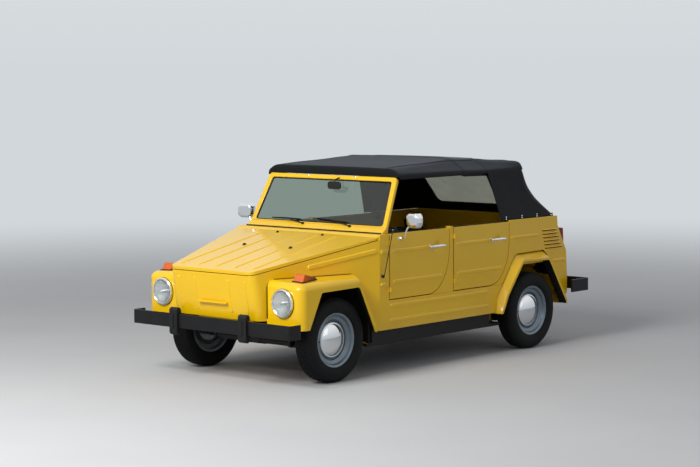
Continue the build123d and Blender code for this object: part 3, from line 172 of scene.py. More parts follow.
def white_surround():
    """Dim, even light for the car; the lens, metal and glass see a pale room instead."""
    world = bpy.data.worlds.new("surround")
    world.use_nodes = True
    tree = world.node_tree
    tree.nodes.clear()
    look = add(tree, "ShaderNodeTexCoord").outputs["Generated"]
    height = add(tree, "ShaderNodeSeparateXYZ", {"Vector": look})
    ramp = add(tree, "ShaderNodeMapRange", {"Value": height.outputs["Z"], "From Min": 0.0, "From Max": 0.4})
    room = add(tree, "ShaderNodeMix", {"Factor": ramp.outputs["Result"], "A": linear("#D2D7DB"),
                                       "B": linear("#FFFFFF")}, data_type="RGBA")
    seen = add(tree, "ShaderNodeBackground", {"Color": room.outputs["Result"], "Strength": 1.0})
    light = add(tree, "ShaderNodeBackground", {"Color": linear("#F4F7FF"), "Strength": 0.29})
    mixed = add(tree, "ShaderNodeMixShader", {"Fac": room_rays(tree), 1: light.outputs[0],
                                              2: seen.outputs[0]})
    add(tree, "ShaderNodeOutputWorld", {"Surface": mixed.outputs[0]})
    bpy.context.scene.world = world


FLOOR_REACH = 60
corners = [(a * FLOOR_REACH, b * FLOOR_REACH, 0) for a, b in ((-1, -1), (1, -1), (1, 1), (-1, 1))]
floor = new_piece("floor", corners, [(0, 1, 2, 3)], painted_floor())
soft_lamp("front_lamp", (8.0, 0.7, 6.2), (0.6, 0, 0.6), 3.2, 690)
soft_lamp("left_lamp", (1.0, 9.0, 4.5), (0, 0, 0.8), 5.0, 25)
white_surround()
bpy.context.scene.view_settings.view_transform = "Standard"


# ---- tub and body sides ---------------------------------------------------------------
# The tub, sills, quarters and tail: deep-drawn and ribbed 1 mm steel sheet, spot-welded,
# stove-enamelled in gloss yellow. The paint is thick, so every edge is slightly round.
ENAMEL_EDGE = 0.0018
FRONT_AXLE = Vector((1.260, 0, 0.320))
REAR_AXLE = Vector((-1.140, 0, 0.320))
WELL_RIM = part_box("front_tub")[1].z
# How far bitumen is brushed: from the axle, up, in from the tyres' middle plane and low inside. The black is
# partly real underseal and partly painted shade, where the arches and the low faces inside them fall dark.
TYRE_PLANE = 0.66
ARCH_REACH = 0.74
ARCH_TOP = 0.83
ARCH_DEPTH = 0.36
SPLASH_SHADE_TOP = 0.40
SPLASH_SHADE_DEPTH = 0.72


def gloss_enamel():
    """Stoved alkyd enamel: a hard clear gloss over a slightly uneven coat, dusty low down."""
    material, tree, shader = new_finish("yellow_stove_enamel", Roughness=0.34, Specular_IOR_Level=0.4,
                                        Coat_Weight=0.35, Coat_Roughness=0.05, Coat_IOR=1.5)
    place = add(tree, "ShaderNodeTexCoord").outputs["Object"]
    fading = add(tree, "ShaderNodeTexNoise", {"Vector": place, "Scale": 2.2, "Detail": 3.0})
    paint = add(tree, "ShaderNodeMix", {"Factor": fading.outputs["Fac"], "A": linear("#EEBC00"),
                                        "B": linear("#F7C904")}, data_type="RGBA")
    # Road dust clings up to about 450 mm, in patches some 30 mm wide.
    height = add(tree, "ShaderNodeSeparateXYZ", {"Vector": place})
    low = add(tree, "ShaderNodeMapRange", {"Value": height.outputs["Z"], "From Min": 0.46, "From Max": 0.30,
                                           "To Max": 0.45})
    patches = add(tree, "ShaderNodeTexNoise", {"Vector": place, "Scale": 33.0, "Detail": 5.0})
    dust = add(tree, "ShaderNodeMath", {0: low.outputs[0], 1: patches.outputs["Fac"]}, operation="MULTIPLY")
    colour = add(tree, "ShaderNodeMix", {"Factor": dust.outputs[0], "A": paint.outputs["Result"],
                                         "B": linear("#9C8A5C")}, data_type="RGBA")
    tree.links.new(colour.outputs["Result"], shader.inputs["Base Color"])
    gloss = add(tree, "ShaderNodeMapRange", {"Value": dust.outputs[0], "To Min": 0.33, "To Max": 0.9})
    tree.links.new(gloss.outputs[0], shader.inputs["Roughness"])
    # Orange peel: ripples 8 mm apart, wider than the real 3 mm so that they show.
    peel = add(tree, "ShaderNodeTexNoise", {"Vector": place, "Scale": 125.0, "Detail": 1.0})
    bump = add(tree, "ShaderNodeBump", {"Height": peel.outputs["Fac"], "Strength": 0.05, "Distance": 0.001})
    tree.links.new(bump.outputs["Normal"], shader.inputs["Normal"])
    tree.links.new(bump.outputs["Normal"], shader.inputs["Coat Normal"])
    return material


def uneven(name, tone=None, rough=None, grain=None, **surface):
    """A finish that varies over the piece, by its place in the shared frame.

    tone is a noise: its scale and detail, then two colours where it tints the piece. rough is the
    roughness at the two ends of that noise. grain is a relief: its scale, its detail (None for round
    cells), the bump's strength and its depth.
    """
    material, tree, shader = new_finish(name, **surface)
    place = add(tree, "ShaderNodeTexCoord").outputs["Object"]
    if tone:
        scale, detail, *colours = tone
        blend = add(tree, "ShaderNodeTexNoise", {"Vector": place, "Scale": scale, "Detail": detail})
        if colours:
            colour = add(tree, "ShaderNodeMix", {"Factor": blend.outputs["Fac"], "A": linear(colours[0]),
                                                 "B": linear(colours[1])}, data_type="RGBA")
            tree.links.new(colour.outputs["Result"], shader.inputs["Base Color"])
        if rough:
            gloss = add(tree, "ShaderNodeMapRange", {"Value": blend.outputs["Fac"], "To Min": rough[0],
                                                     "To Max": rough[1]})
            tree.links.new(gloss.outputs[0], shader.inputs["Roughness"])
    if grain:
        scale, detail, strength, depth = grain
        if detail:
            relief = add(tree, "ShaderNodeTexNoise", {"Vector": place, "Scale": scale, "Detail": detail})
        else:
            relief = add(tree, "ShaderNodeTexVoronoi", {"Vector": place, "Scale": scale})
        bump = add(tree, "ShaderNodeBump", {"Height": relief.outputs[0], "Strength": strength,
                                            "Distance": depth})
        tree.links.new(bump.outputs["Normal"], shader.inputs["Normal"])
    return material


def finished(piece, body, sharp=32, edge=0.0):
    """Shade a new piece, round its sharp edges by edge metres, and fix it to a body."""
    mesh = piece.data
    mesh.polygons.foreach_set("use_smooth", [True] * len(mesh.polygons))
    mesh.set_sharp_from_angle(angle=math.radians(sharp))
    if edge:
        roll = piece.modifiers.new("rolled_edge", "BEVEL")
        roll.width = edge
        roll.segments = 2
        roll.limit_method = "ANGLE"
        roll.angle_limit = math.radians(sharp)
        roll.use_clamp_overlap = False
        roll.loop_slide = False
    flat = piece.modifiers.new("flat_faces_rule", "WEIGHTED_NORMAL")
    flat.keep_sharp = True
    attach(piece, body)
    return piece


def takes_arch_black(face, skin):
    """Whether a face of the sheet is turned to a wheel in an arch that ends at skin, or lies low inside it,
    or is a flank face in it: all take the black, partly underseal and partly painted shade.
    """
    axle = FRONT_AXLE if face.center.x > 0 else REAR_AXLE
    across = abs(face.center.y)
    inward = Vector((axle.x, math.copysign(TYRE_PLANE, face.center.y), axle.z)) - face.center
    if not (math.hypot(inward.x, inward.z) < ARCH_REACH and ARCH_DEPTH < across < skin
            and face.center.z < ARCH_TOP):
        return False
    # Low faces inside the arch and flank faces in it are blackened too: painted shade as well as underseal.
    low_inside_shade = face.center.z < SPLASH_SHADE_TOP and across < SPLASH_SHADE_DEPTH
    shaded_flank = abs(face.normal.y) > 0.98 and 0.68 < across < 0.74
    return face.normal.dot(inward.normalized()) > 0.12 or low_inside_shade or shaded_flank


def pressed_copy(node, finish, edge=ENAMEL_EDGE, underseal_and_shade=None, skin=0.755):
    """A copy of a CAD piece, triangles joined and edges rolled; what faces a wheel inside skin gets the black
    second finish, partly underseal and partly painted shade.
    """
    source = frame["nodes"][node]
    piece = bpy.data.objects.new(node + "_pressing", source.data.copy())
    bpy.context.scene.collection.objects.link(piece)
    shape = bmesh.new()
    shape.from_mesh(piece.data)
    bmesh.ops.remove_doubles(shape, verts=shape.verts, dist=2e-5)
    if node == "front_bulkhead":
        bmesh.ops.bisect_plane(shape, geom=shape.verts[:] + shape.edges[:] + shape.faces[:],
                               plane_co=(0, 0, WELL_RIM), plane_no=(0, 0, 1))
    shape.to_mesh(piece.data)
    shape.free()
    piece.data.materials.clear()
    piece.data.materials.append(finish)
    if underseal_and_shade:
        piece.data.materials.append(underseal_and_shade)
        for face in piece.data.polygons:
            in_well = node == "front_bulkhead" and face.normal.x > 0.9 and face.center.z > WELL_RIM
            if takes_arch_black(face, skin) and not in_well:
                face.material_index = 1
    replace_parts(piece, node)
    return finished(piece, source["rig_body"], edge=edge)


enamel = gloss_enamel()
# Brushed-on bitumen in the wheel arches: matt, lumpy, near black with dried mud on it. Over the arches' low
# and flank faces it is partly painted shade.
bitumen = uneven("bitumen_underseal", (9.0, 6.0, "#0B0B0B", "#24211C"), grain=(140.0, 4.0, 0.6, 0.002),
                 Roughness=0.92, Specular_IOR_Level=0.15)
for node in ("front_tub", "front_bulkhead", "rear_deck", "door_posts", "quarter_panels", "rear_panel",
             "cowl_panel", "nose_panel"):
    pressed_copy(node, enamel, underseal_and_shade=bitumen)
for node in ("front_fenders", "rear_flares"):
    pressed_copy(node, enamel, underseal_and_shade=bitumen, skin=0.812)
pressed_copy("sills", enamel)


# ---- louvres --------------------------------------------------------------------------
# Cooling slots behind each rear door: the steel is lanced and pushed out into a curved
# lip over every slot, in the same enamel as the quarter panel. A flat air box is behind.
SIDES = ((1, "left"), (-1, "right"))
LOUVRES = 6
LOUVRE_PITCH = 0.030
LOUVRE_TOP = 0.985
LOUVRE_FRONT, FRONT_SLANT = -1.291, 0.009
LOUVRE_REAR, REAR_SLANT = -1.506, 0.016
LIP_FOOT = 0.7615
LIP_PROUD = 0.011
DUCT_FACE = 0.7385
DUCT_BACK = 0.7150
DUCT_OUTLINE = ((-1.270, 1.006), (-1.500, 1.006), (-1.603, 0.822), (-1.325, 0.822))
BOX_SIDES = ((0, 1, 2, 3), (7, 6, 5, 4), (0, 4, 5, 1), (1, 5, 6, 2), (2, 6, 7, 3), (3, 7, 4, 0))


def walled(piece, thickness):
    """Give a new sheet its thickness, inwards from its face."""
    wall = piece.modifiers.new("sheet_thickness", "SOLIDIFY")
    wall.thickness = thickness
    wall.offset = -1
    return piece


def louvre_lip(name, front, rear, top, side):
    """A quarter-round hood over one slot, closed at both ends, 24 mm deep."""
    points = []
    faces = []
    steps = 6
    for end in range(9):
        share = end / 8
        x = rear + share * (front - rear)
        swell = min(1.0, math.sin(math.pi * share) * 3.2) ** 0.5 if 0 < share < 1 else 0.0
        for step in range(steps + 1):
            angle = math.pi / 2 * step / steps
            y = LIP_FOOT + LIP_PROUD * swell * math.sin(angle)
            z = top + 0.006 - 0.010 * (1 - math.cos(angle))
            points.append((x - 0.004 * step / steps, side * y, z))
    for end in range(8):
        for step in range(steps):
            first = end * (steps + 1) + step
            faces.append((first, first + steps + 1, first + steps + 2, first + 1)[::side])
    return finished(walled(new_piece(name, points, faces, enamel), 0.0012), "body", sharp=60)


def louvre_duct(name, side):
    """The flat air box that stands behind one side's slots, inside the quarter panel."""
    points = [(x, side * y, z) for y in (DUCT_FACE, DUCT_BACK) for x, z in DUCT_OUTLINE]
    faces = [face[::side] for face in BOX_SIDES]
    return finished(new_piece(name, points, faces, bitumen), "body")


for side, name in SIDES:
    louvre_duct(f"louvre_duct_{name}", side)
    for row in range(LOUVRES):
        louvre_lip(f"louvre_{name}_{row}", LOUVRE_FRONT - row * FRONT_SLANT, LOUVRE_REAR - row * REAR_SLANT,
                   LOUVRE_TOP - row * LOUVRE_PITCH, side)


# ---- hood and nose --------------------------------------------------------------------
# The hood: one ribbed pressing hinged at the cowl, shut on a rubber strip round the nose.
# Two rubber stops and two washer nozzles sit on it; a bar on the nose pulls its latch.
def cleaned(piece, weld=0.0, fill=False, up=False):
    """Turn a new piece's faces outwards, after its doubles are merged and its ends are closed."""
    shape = bmesh.new()
    shape.from_mesh(piece.data)
    if weld:
        bmesh.ops.remove_doubles(shape, verts=shape.verts, dist=weld)
    if fill:
        bmesh.ops.holes_fill(shape, edges=shape.edges)
    bmesh.ops.recalc_face_normals(shape, faces=shape.faces)
    if up and shape.faces[0].normal.z < 0:
        bmesh.ops.reverse_faces(shape, faces=shape.faces)
    shape.to_mesh(piece.data)
    shape.free()
    return piece


def lathe(name, outline, centre, axis, finish, steps=48):
    """A turned shape: outline is a list of (radius, distance along the axis) from centre."""
    turn = Vector((0, 0, 1)).rotation_difference(Vector(axis).normalized())
    points = []
    faces = []
    for radius, height in outline:
        for step in range(steps):
            angle = 2 * math.pi * step / steps
            arm = Vector((radius * math.cos(angle), radius * math.sin(angle), height))
            points.append(Vector(centre) + turn @ arm)
    for ring in range(len(outline) - 1):
        for step in range(steps):
            beside = (step + 1) % steps
            low = ring * steps
            faces.append((low + step, low + beside, low + steps + beside, low + steps + step))
    return cleaned(new_piece(name, points, faces, finish), weld=1e-6)


def arc(middle, radius, start, end, steps=8):
    """Points on a circle, angles in degrees, as (first, second) pairs."""
    turns = [math.radians(start + (end - start) * step / steps) for step in range(steps + 1)]
    return [(middle[0] + radius * math.cos(turn), middle[1] + radius * math.sin(turn)) for turn in turns]


def touchable(mesh):
    """A mesh's surface, for lines and points to find."""
    return BVHTree.FromPolygons([v.co for v in mesh.vertices], [tuple(f.vertices) for f in mesh.polygons])


def touch(node, start, direction):
    """Where a straight line first meets a CAD piece, and the surface's direction there."""
    surface = touchable(frame["nodes"][node].data)
    return surface.ray_cast(Vector(start), Vector(direction).normalized())[:2]


def meshed(name, line, finish):
    """A curve or a text as a piece of mesh."""
    drawn = bpy.data.objects.new(name + "_line", line)
    mesh = bpy.data.meshes.new_from_object(drawn)
    bpy.data.objects.remove(drawn)
    mesh.materials.clear()
    mesh.materials.append(finish)
    piece = bpy.data.objects.new(name, mesh)
    bpy.context.scene.collection.objects.link(piece)
    return piece


def piped(name, points, radius, finish, closed=False):
    """A round bead, wire or tube along straight runs between close points, as a mesh."""
    line = bpy.data.curves.new(name, "CURVE")
    line.dimensions = "3D"
    line.bevel_depth = radius
    line.bevel_resolution = 3
    line.use_fill_caps = not closed
    spline = line.splines.new("POLY")
    spline.points.add(len(points) - 1)
    for point, place in zip(spline.points, points):
        point.co = (*place, 1)
    spline.use_cyclic_u = closed
    return meshed(name, line, finish)


def smooth_run(points, steps=8):
    """A smooth line through a few points, by Catmull-Rom."""
    line = []
    padded = [points[0]] + list(points) + [points[-1]]
    spots = [Vector(point) for point in padded]
    for before, first, second, after in zip(spots, spots[1:], spots[2:], spots[3:]):
        for step in range(steps):
            t = step / steps
            line.append(0.5 * ((2 * first) + (second - before) * t
                               + (2 * before - 5 * first + 4 * second - after) * t * t
                               + (3 * first - before - 3 * second + after) * t ** 3))
    return line + [spots[-1]]


# Moulded EPDM rubber: charcoal, a dull sheen and a fine matt grain, greyed by weather.
rubber = uneven("moulded_rubber", (14.0, 5.0, "#0C0C0D", "#1B1B1C"), grain=(600.0, 2.0, 0.25, 0.0005),
                Roughness=0.62, Specular_IOR_Level=0.25)
pressed_copy("hood", enamel)
pressed_copy("latch_bar", enamel)
pressed_copy("hood_seal", rubber, edge=0.0008)
# Each: name, x, distance from the middle, outline, steps round, slot.
HOOD_FITTINGS = (
    ("hood_stop", 1.240, 0.247, ((0, 0.013), (0.006, 0.0125), (0.010, 0.010), (0.012, 0.006), (0.016, 0.004),
                                 (0.017, 0.0), (0.017, -0.003)), 24, "rubber"),
    ("washer_nozzle", 0.872, 0.24, ((0, 0.012), (0.004, 0.012), (0.006, 0.009), (0.009, 0.006),
                                    (0.012, 0.003), (0.012, -0.003)), 20, "black_plastic"))
for fitting, x, across, outline, steps, slot in HOOD_FITTINGS:
    for side, name in SIDES[::-1]:
        place, normal = touch("hood", (x, side * across, 2.0), (0, 0, -1))
        finished(lathe(f"{fitting}_{name}", outline, place, normal, rubber, steps), "hood")


# ---- wing beading ---------------------------------------------------------------------
# A black PVC bead clamped between each bolted-on front wing and the side of the nose: it
# runs along the top of the wing, turns down over its front edge and ends at the bumper.
CREASE_X, CREASE_HALF = 0.795, 0.762
NOSE_X, NOSE_HALF = 1.805, 0.449
BEAD_START, BEAD_TURN, BEAD_DROP_X, BEAD_END = 0.90, 1.668, 1.732, 0.51
BEAD_BEND = 0.066
BEAD_RADIUS = 0.0042


def nose_side(x):
    """Half width of the nose's side wall at a station ahead of the crease."""
    return CREASE_HALF - (x - CREASE_X) * (CREASE_HALF - NOSE_HALF) / (NOSE_X - CREASE_X)


def wing_bead(side):
    """The bead's line, dropped on to the corner that the wing makes with the nose side."""
    route = []
    for step in range(22):
        x = BEAD_START + (BEAD_TURN - BEAD_START) * step / 21
        y = side * (nose_side(x) + 0.0035)
        place, normal = touch("front_fenders", (x, y, 1.2), (0, 0, -1))
        if place:
            route.append(place + Vector((0, 0, 0.0005)))
    top = route[-1]
    y = side * (nose_side(BEAD_DROP_X) + 0.004)
    for x, z in arc((1.6705, top.z - BEAD_BEND), BEAD_BEND, 75, 0, 6):
        route.append(Vector((x, y, z)))
    route.append(Vector((1.7365, y, BEAD_END)))
    return route


for side, name in SIDES:
    finished(piped(f"wing_bead_{name}", wing_bead(side), BEAD_RADIUS, rubber), "body")


# ---- headlights -----------------------------------------------------------------------
# A chromed brass rim over a fluted glass lens and a silvered bowl, sealed as one unit and
# screwed to the front of each wing on a rubber ring.
def fluted_glass():
    """Pressed borosilicate lens: clear, with upright prisms 9 mm apart on its face."""
    material, tree, shader = new_finish("fluted_lens_glass", Transmission_Weight=0.97, Roughness=0.02,
                                        IOR=1.47, Base_Color=linear("#F4F7F6"))
    place = add(tree, "ShaderNodeTexCoord").outputs["Object"]
    flutes = add(tree, "ShaderNodeTexWave", {"Vector": place, "Scale": 35.0, "Distortion": 0.0},
                 bands_direction="Y", wave_profile="SIN")
    bump = add(tree, "ShaderNodeBump", {"Height": flutes.outputs["Fac"], "Strength": 0.3, "Distance": 0.0015})
    tree.links.new(bump.outputs["Normal"], shader.inputs["Normal"])
    return material


LAMP_RADIUS = 0.108
LENS_RADIUS = 0.088

# Polished nickel-chrome plate: a mirror with the faint haze of old polish marks.
chrome = uneven("nickel_chrome_plate", (30.0, 4.0), rough=(0.04, 0.14), Metallic=1.0, Roughness=0.07,
                Base_Color=linear("#DADDE0"))
# Aluminium evaporated on a pressed bowl: bright, soft-edged, faintly rippled by facets.
silver_bowl = uneven("silvered_reflector", grain=(70.0, None, 0.2, 0.003), Metallic=1.0, Roughness=0.07,
                     Base_Color=linear("#E4E6E6"))
lens_glass = fluted_glass()
lamp_low, lamp_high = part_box("headlights")


def pressed_curve(foot, rise, steps, radius):
    """A shallow parabolic dish or dome: outline points from the middle out, rise metres deep."""
    return [(radius * step / steps, foot + rise * (step / steps) ** 2) for step in range(steps + 1)]


# Each: name, outline from the wing's face forwards, finish, steps round, slot.
LAMP_PIECES = (
    ("gasket", [(0.100, 0.001), (0.1075, 0.001), (0.108, 0.003), (0.1075, 0.005)], rubber, 64, "rubber"),
    ("rim", [(0.104, 0.003), (0.1065, 0.004)] + [(r, h) for h, r in arc((0.012, 0.0945), 0.013, 65, 0, 7)]
     + [(0.0955, 0.0262), (0.0905, 0.0245), (0.089, 0.021), (0.090, 0.012)], chrome, 72, "chrome"),
    ("bowl", pressed_curve(0.003, 0.015, 8, 0.091), silver_bowl, 48, "chrome"),
    ("bulb", [(0.012, 0.003), (0.012, 0.012)] + arc((0, 0.018), 0.012, 0, 90, 5), chrome, 24, "chrome"),
    ("lens", pressed_curve(0.0395, -0.0170, 8, LENS_RADIUS) + [(0.0885, 0.0195), (0.084, 0.0195)]
     + pressed_curve(0.0360, -0.0170, 8, LENS_RADIUS)[7::-1], lens_glass, 64, "lamp_glass"))
for side, name in SIDES:
    centre = Vector((lamp_low.x, side * (lamp_high.y - LAMP_RADIUS), (lamp_low.z + lamp_high.z) / 2))
    for part, outline, finish, steps, slot in LAMP_PIECES:
        piece = lathe(f"headlight_{part}_{name}", outline, centre, (1, 0, 0), finish, steps)
        finished(piece, "body", sharp=50)
    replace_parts(piece, "headlights")


# ---- turn signals ---------------------------------------------------------------------
# A wedge of ribbed acrylic on top of each front wing, amber, with a painted shade that darkens it to deep red
# towards its low tail, screwed down on a black rubber gasket that shows all round its foot.
def ribbed_acrylic(name, lit_colour, shaded_colour, start, end, direction="Y"):
    """Moulded acrylic lens: glossy and translucent, with fine prisms 7 mm apart; its colour darkens along it
    from the lit colour to the shaded one, a painted shade.
    """
    material, tree, shader = new_finish(name, Transmission_Weight=0.1, Roughness=0.3, IOR=1.49,
                                        Specular_IOR_Level=0.12, Coat_Weight=0.12, Coat_Roughness=0.05)
    place = add(tree, "ShaderNodeTexCoord").outputs["Object"]
    along = add(tree, "ShaderNodeSeparateXYZ", {"Vector": place})
    share = add(tree, "ShaderNodeMapRange", {"Value": along.outputs["X"], "From Min": start, "From Max": end})
    colour = add(tree, "ShaderNodeMix", {"Factor": share.outputs[0], "A": linear(lit_colour),
                                         "B": linear(shaded_colour)}, data_type="RGBA")
    tree.links.new(colour.outputs["Result"], shader.inputs["Base Color"])
    prisms = add(tree, "ShaderNodeTexWave", {"Vector": place, "Scale": 45.0, "Distortion": 0.0},
                 bands_direction=direction, wave_profile="TRI")
    bump = add(tree, "ShaderNodeBump", {"Height": prisms.outputs["Fac"], "Strength": 0.6, "Distance": 0.0025})
    tree.links.new(bump.outputs["Normal"], shader.inputs["Normal"])
    return material


def footprint(node, side, grow, thick):
    """A gasket under a CAD lamp: its own foot outline, grown outwards, thick metres high."""
    source = frame["nodes"][node].data
    spots = [v.co for v in source.vertices if v.co.y * side > 0]
    middle = sum((Vector(s) for s in spots), Vector()) / len(spots)
    corners = []
    for lengthwise, crosswise in ((1, 1), (1, -1), (-1, -1), (-1, 1)):
        # The corner that lies furthest out both ways; a low point wins over a high one.
        best = max(spots, key=lambda s: lengthwise * (s.x - middle.x) + crosswise * (s.y - middle.y) * 1.5
                   - 0.3 * s.z)
        corners.append(Vector(best) + Vector((lengthwise * grow, crosswise * grow, 0)))
    return corners + [c + Vector((0, 0, thick)) for c in corners]


signal_low, signal_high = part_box("turn_signals")
# The deep red towards the signal's tail is painted shade on the amber lens.
amber = ribbed_acrylic("amber_acrylic", "#E0650A", "#861C0C", signal_high.x - 0.05, signal_low.x + 0.03)
pressed_copy("turn_signals", amber, edge=0.006)
for side, name in SIDES:
    foot = footprint("turn_signals", side, 0.005, 0.007)
    gasket = cleaned(new_piece(f"signal_gasket_{name}", foot, BOX_SIDES, rubber))
    finished(gasket, "body", edge=0.002)


# ---- bumpers --------------------------------------------------------------------------
# Folded steel beams in satin black, with moulded rubber guards on the front and rear. Each
# guard is drawn to its beam from behind and has one raised rib up its face.
# Oven-dried black paint on steel: satin, slightly textured, dust in its grain.
black_paint = uneven("satin_black_paint", (11.0, 6.0, "#0C0C0D", "#1A1A1C"), rough=(0.34, 0.56),
                     grain=(420.0, 3.0, 0.2, 0.0006), Roughness=0.45, Specular_IOR_Level=0.22)
pressed_copy("front_bumper", black_paint, edge=0.003)
pressed_copy("rear_bumper", black_paint, edge=0.003)
pressed_copy("bumper_guards", rubber, edge=0.007)
RIB_FOOT, RIB_RISE, RIB_ACROSS = 0.386, 0.105, 0.368
REAR_GUARD_LIFT = 0.045
for end, face, lift in (("front", 1, 0.0), ("rear", -1, REAR_GUARD_LIFT)):
    for side, name in SIDES:
        line = []
        for step in range(9):
            start = (face * 3.0, side * RIB_ACROSS, RIB_FOOT + RIB_RISE * step / 8 + lift)
            place, normal = touch("bumper_guards", start, (-face, 0, 0))
            if place:
                line.append(place)
        finished(piped(f"guard_rib_{end}_{name}", line, 0.0085, rubber), "body", sharp=60)


# ---- wheels and tyres -----------------------------------------------------------------
# Pressed steel disc wheels in silver enamel with a domed chromed cap sprung on, under
# radial tyres: 72 tread pitches of five ribs each, a rim guard and plain, unmarked walls.
def grown(name, tree, path, body, slot=None, sharp=32, **inputs):
    """Run a tree on a line of points and keep the result as one plain piece on a body."""
    steps = [(step, step + 1) for step in range(len(path) - 1)]
    seed = new_piece(name + "_seed", path, [], edges=steps)
    modifier = seed.modifiers.new("tree", "NODES")
    modifier.node_group = tree
    for socket in tree.interface.items_tree:
        if socket.name in inputs and socket.in_out == "INPUT":
            modifier[socket.identifier] = inputs[socket.name]
    mesh = bpy.data.meshes.new_from_object(seed.evaluated_get(bpy.context.evaluated_depsgraph_get()))
    bpy.data.objects.remove(seed)
    piece = bpy.data.objects.new(name, mesh)
    bpy.context.scene.collection.objects.link(piece)
    return finished(piece, body, sharp=sharp)


def pattern(piece):
    """Keep a shape only as the pattern that a tree copies: it isn't in the scene itself."""
    bpy.context.scene.collection.objects.unlink(piece)
    return piece


def copying(name, sockets, places):
    """A tree that copies one shape at places, joins the copies and gives them their finish."""
    tree = bpy.data.node_groups.new(name, "GeometryNodeTree")
    for socket, kind in (*sockets, ("Shape", "Object"), ("Count", "Int"), ("Finish", "Material")):
        tree.interface.new_socket(socket, in_out="INPUT", socket_type="NodeSocket" + kind)
    tree.interface.new_socket("Mesh", in_out="OUTPUT", socket_type="NodeSocketGeometry")
    given = add(tree, "NodeGroupInput").outputs
    spots, turn = places(tree, given)
    shape = add(tree, "GeometryNodeObjectInfo", {"Object": given["Shape"]})
    copies = add(tree, "GeometryNodeInstanceOnPoints", {"Points": spots, "Rotation": turn,
                                                        "Instance": shape.outputs["Geometry"]})
    whole = add(tree, "GeometryNodeRealizeInstances", {"Geometry": copies.outputs[0]})
    coated = add(tree, "GeometryNodeSetMaterial", {"Geometry": whole.outputs[0], "Material": given["Finish"]})
    add(tree, "NodeGroupOutput", {"Mesh": coated.outputs[0]})
    return tree


def round_an_axle(tree, given):
    """Even turns about an axis through a centre."""
    spots = add(tree, "GeometryNodeMeshLine", {"Count": given["Count"], "Start Location": given["Centre"],
                                               "Offset": (0, 0, 0)})
    index = add(tree, "GeometryNodeInputIndex")
    share = add(tree, "ShaderNodeMath", {0: index.outputs[0], 1: given["Count"]}, operation="DIVIDE")
    angle = add(tree, "ShaderNodeMath", {0: share.outputs[0], 1: 2 * math.pi}, operation="MULTIPLY")
    turn = add(tree, "FunctionNodeAxisAngleToRotation", {"Axis": given["Axis"], "Angle": angle.outputs[0]})
    return spots.outputs[0], turn.outputs[0]


TYRE_RADIUS = 0.320
TREAD_PITCHES = 72
# Each rib: from y, to y, and how far it is set round the tyre, as a share of the pitch.
TREAD_RIBS = [(-0.054, -0.036, 0.0), (-0.031, -0.013, 0.5), (-0.008, 0.008, 0.15), (0.013, 0.031, 0.5),
              (0.036, 0.054, 0.0)]
TREAD_FOOT = 0.3115
CAP_FACE, CAP_RISE, CAP_RADIUS = 0.031, 0.0315, 0.121
VALVE_REACH = 0.1460


def tread_pitch():
    """One pitch of tread at the top of the tyre: five slanted blocks, 24 mm long."""
    points = []
    faces = []
    pitch = 2 * math.pi / TREAD_PITCHES
    for low, high, shift in TREAD_RIBS:
        first = len(points)
        for radius in (TREAD_FOOT, TYRE_RADIUS - 0.0004):
            for y, turn in ((low, 0.05), (high, 0.25), (high, 1.05), (low, 0.85)):
                trim = 0.0025 if radius > TREAD_FOOT and abs(y) > 0.05 else 0.0
                angle = (turn + shift) * pitch
                points.append(((radius - trim) * math.sin(angle), y, (radius - trim) * math.cos(angle)))
        faces += [tuple(first + corner for corner in face) for face in
                  ((4, 5, 6, 7), (0, 1, 5, 4), (1, 2, 6, 5), (2, 3, 7, 6), (3, 0, 4, 7))]
    return pattern(cleaned(new_piece("tread_pitch", points, faces), up=True))


def tyre_outline():
    """The carcass from bead to bead, as (radius, y), with a rim guard and shoulder steps."""
    wall = [(0.2060, 0.0630), (0.2100, 0.0685), (0.2150, 0.0735), (0.2190, 0.0775), (0.2225, 0.0778),
            (0.2250, 0.0770), (0.2320, 0.0815), (0.2520, 0.0840), (0.2720, 0.0822), (0.2860, 0.0778),
            (0.2875, 0.0782), (0.2900, 0.0772), (0.3000, 0.0712), (0.3080, 0.0640), (0.3122, 0.0560),
            (0.3130, 0.0500)]
    return wall + [(radius, -y) for radius, y in wall[::-1]] + [(0.1990, -0.0590), (0.1990, 0.0590), wall[0]]


def wheel_outline():
    """The disc and rim's section, as (radius, y) with the street side at +y."""
    lip = arc((0.2030, 0.0620), 0.0040, -40, 130, 6)
    street = [(0.1975, 0.0640), (0.1900, 0.0600), (0.1858, 0.0540), (0.1835, 0.0420), (0.1790, 0.0350),
              (0.1700, 0.0318), (0.1600, 0.0300), (0.1545, 0.0265), (0.1525, 0.0200), (0.1515, 0.0130),
              (0.1480, 0.0098), (0.1430, 0.0108), (0.1360, 0.0180), (0.1300, 0.0240), (0.1200, 0.0275),
              (0.1000, 0.0285), (0.0300, 0.0285)]
    yard = [(0.0300, 0.0225), (0.1000, 0.0225), (0.1250, 0.0170), (0.1440, 0.0050), (0.1520, 0.0040),
            (0.1520, -0.0230), (0.1840, -0.0300), (0.1860, -0.0600), (0.1990, -0.0640), (0.2068, -0.0640),
            (0.2068, -0.0590), (0.1905, -0.0560), (0.1905, -0.0260), (0.1590, -0.0180), (0.1590, 0.0180),
            (0.1905, 0.0300), (0.1905, 0.0560)]
    return lip + street + yard + [lip[0]]


def cap_outline():
    """The hub cap: a sprung skirt, a flat step and a low dome."""
    dome = [(CAP_RADIUS * math.sin(t), CAP_FACE + CAP_RISE * (1 - math.sin(t) ** 2) ** 0.8)
            for t in (math.pi / 2 * step / 14 for step in range(14, -1, -1))]
    return [(0.1250, 0.0255), (0.1318, 0.0245), (0.1332, 0.0265), (0.1322, 0.0292), (0.1290, 0.0302),
            (0.1235, 0.0302)] + dome


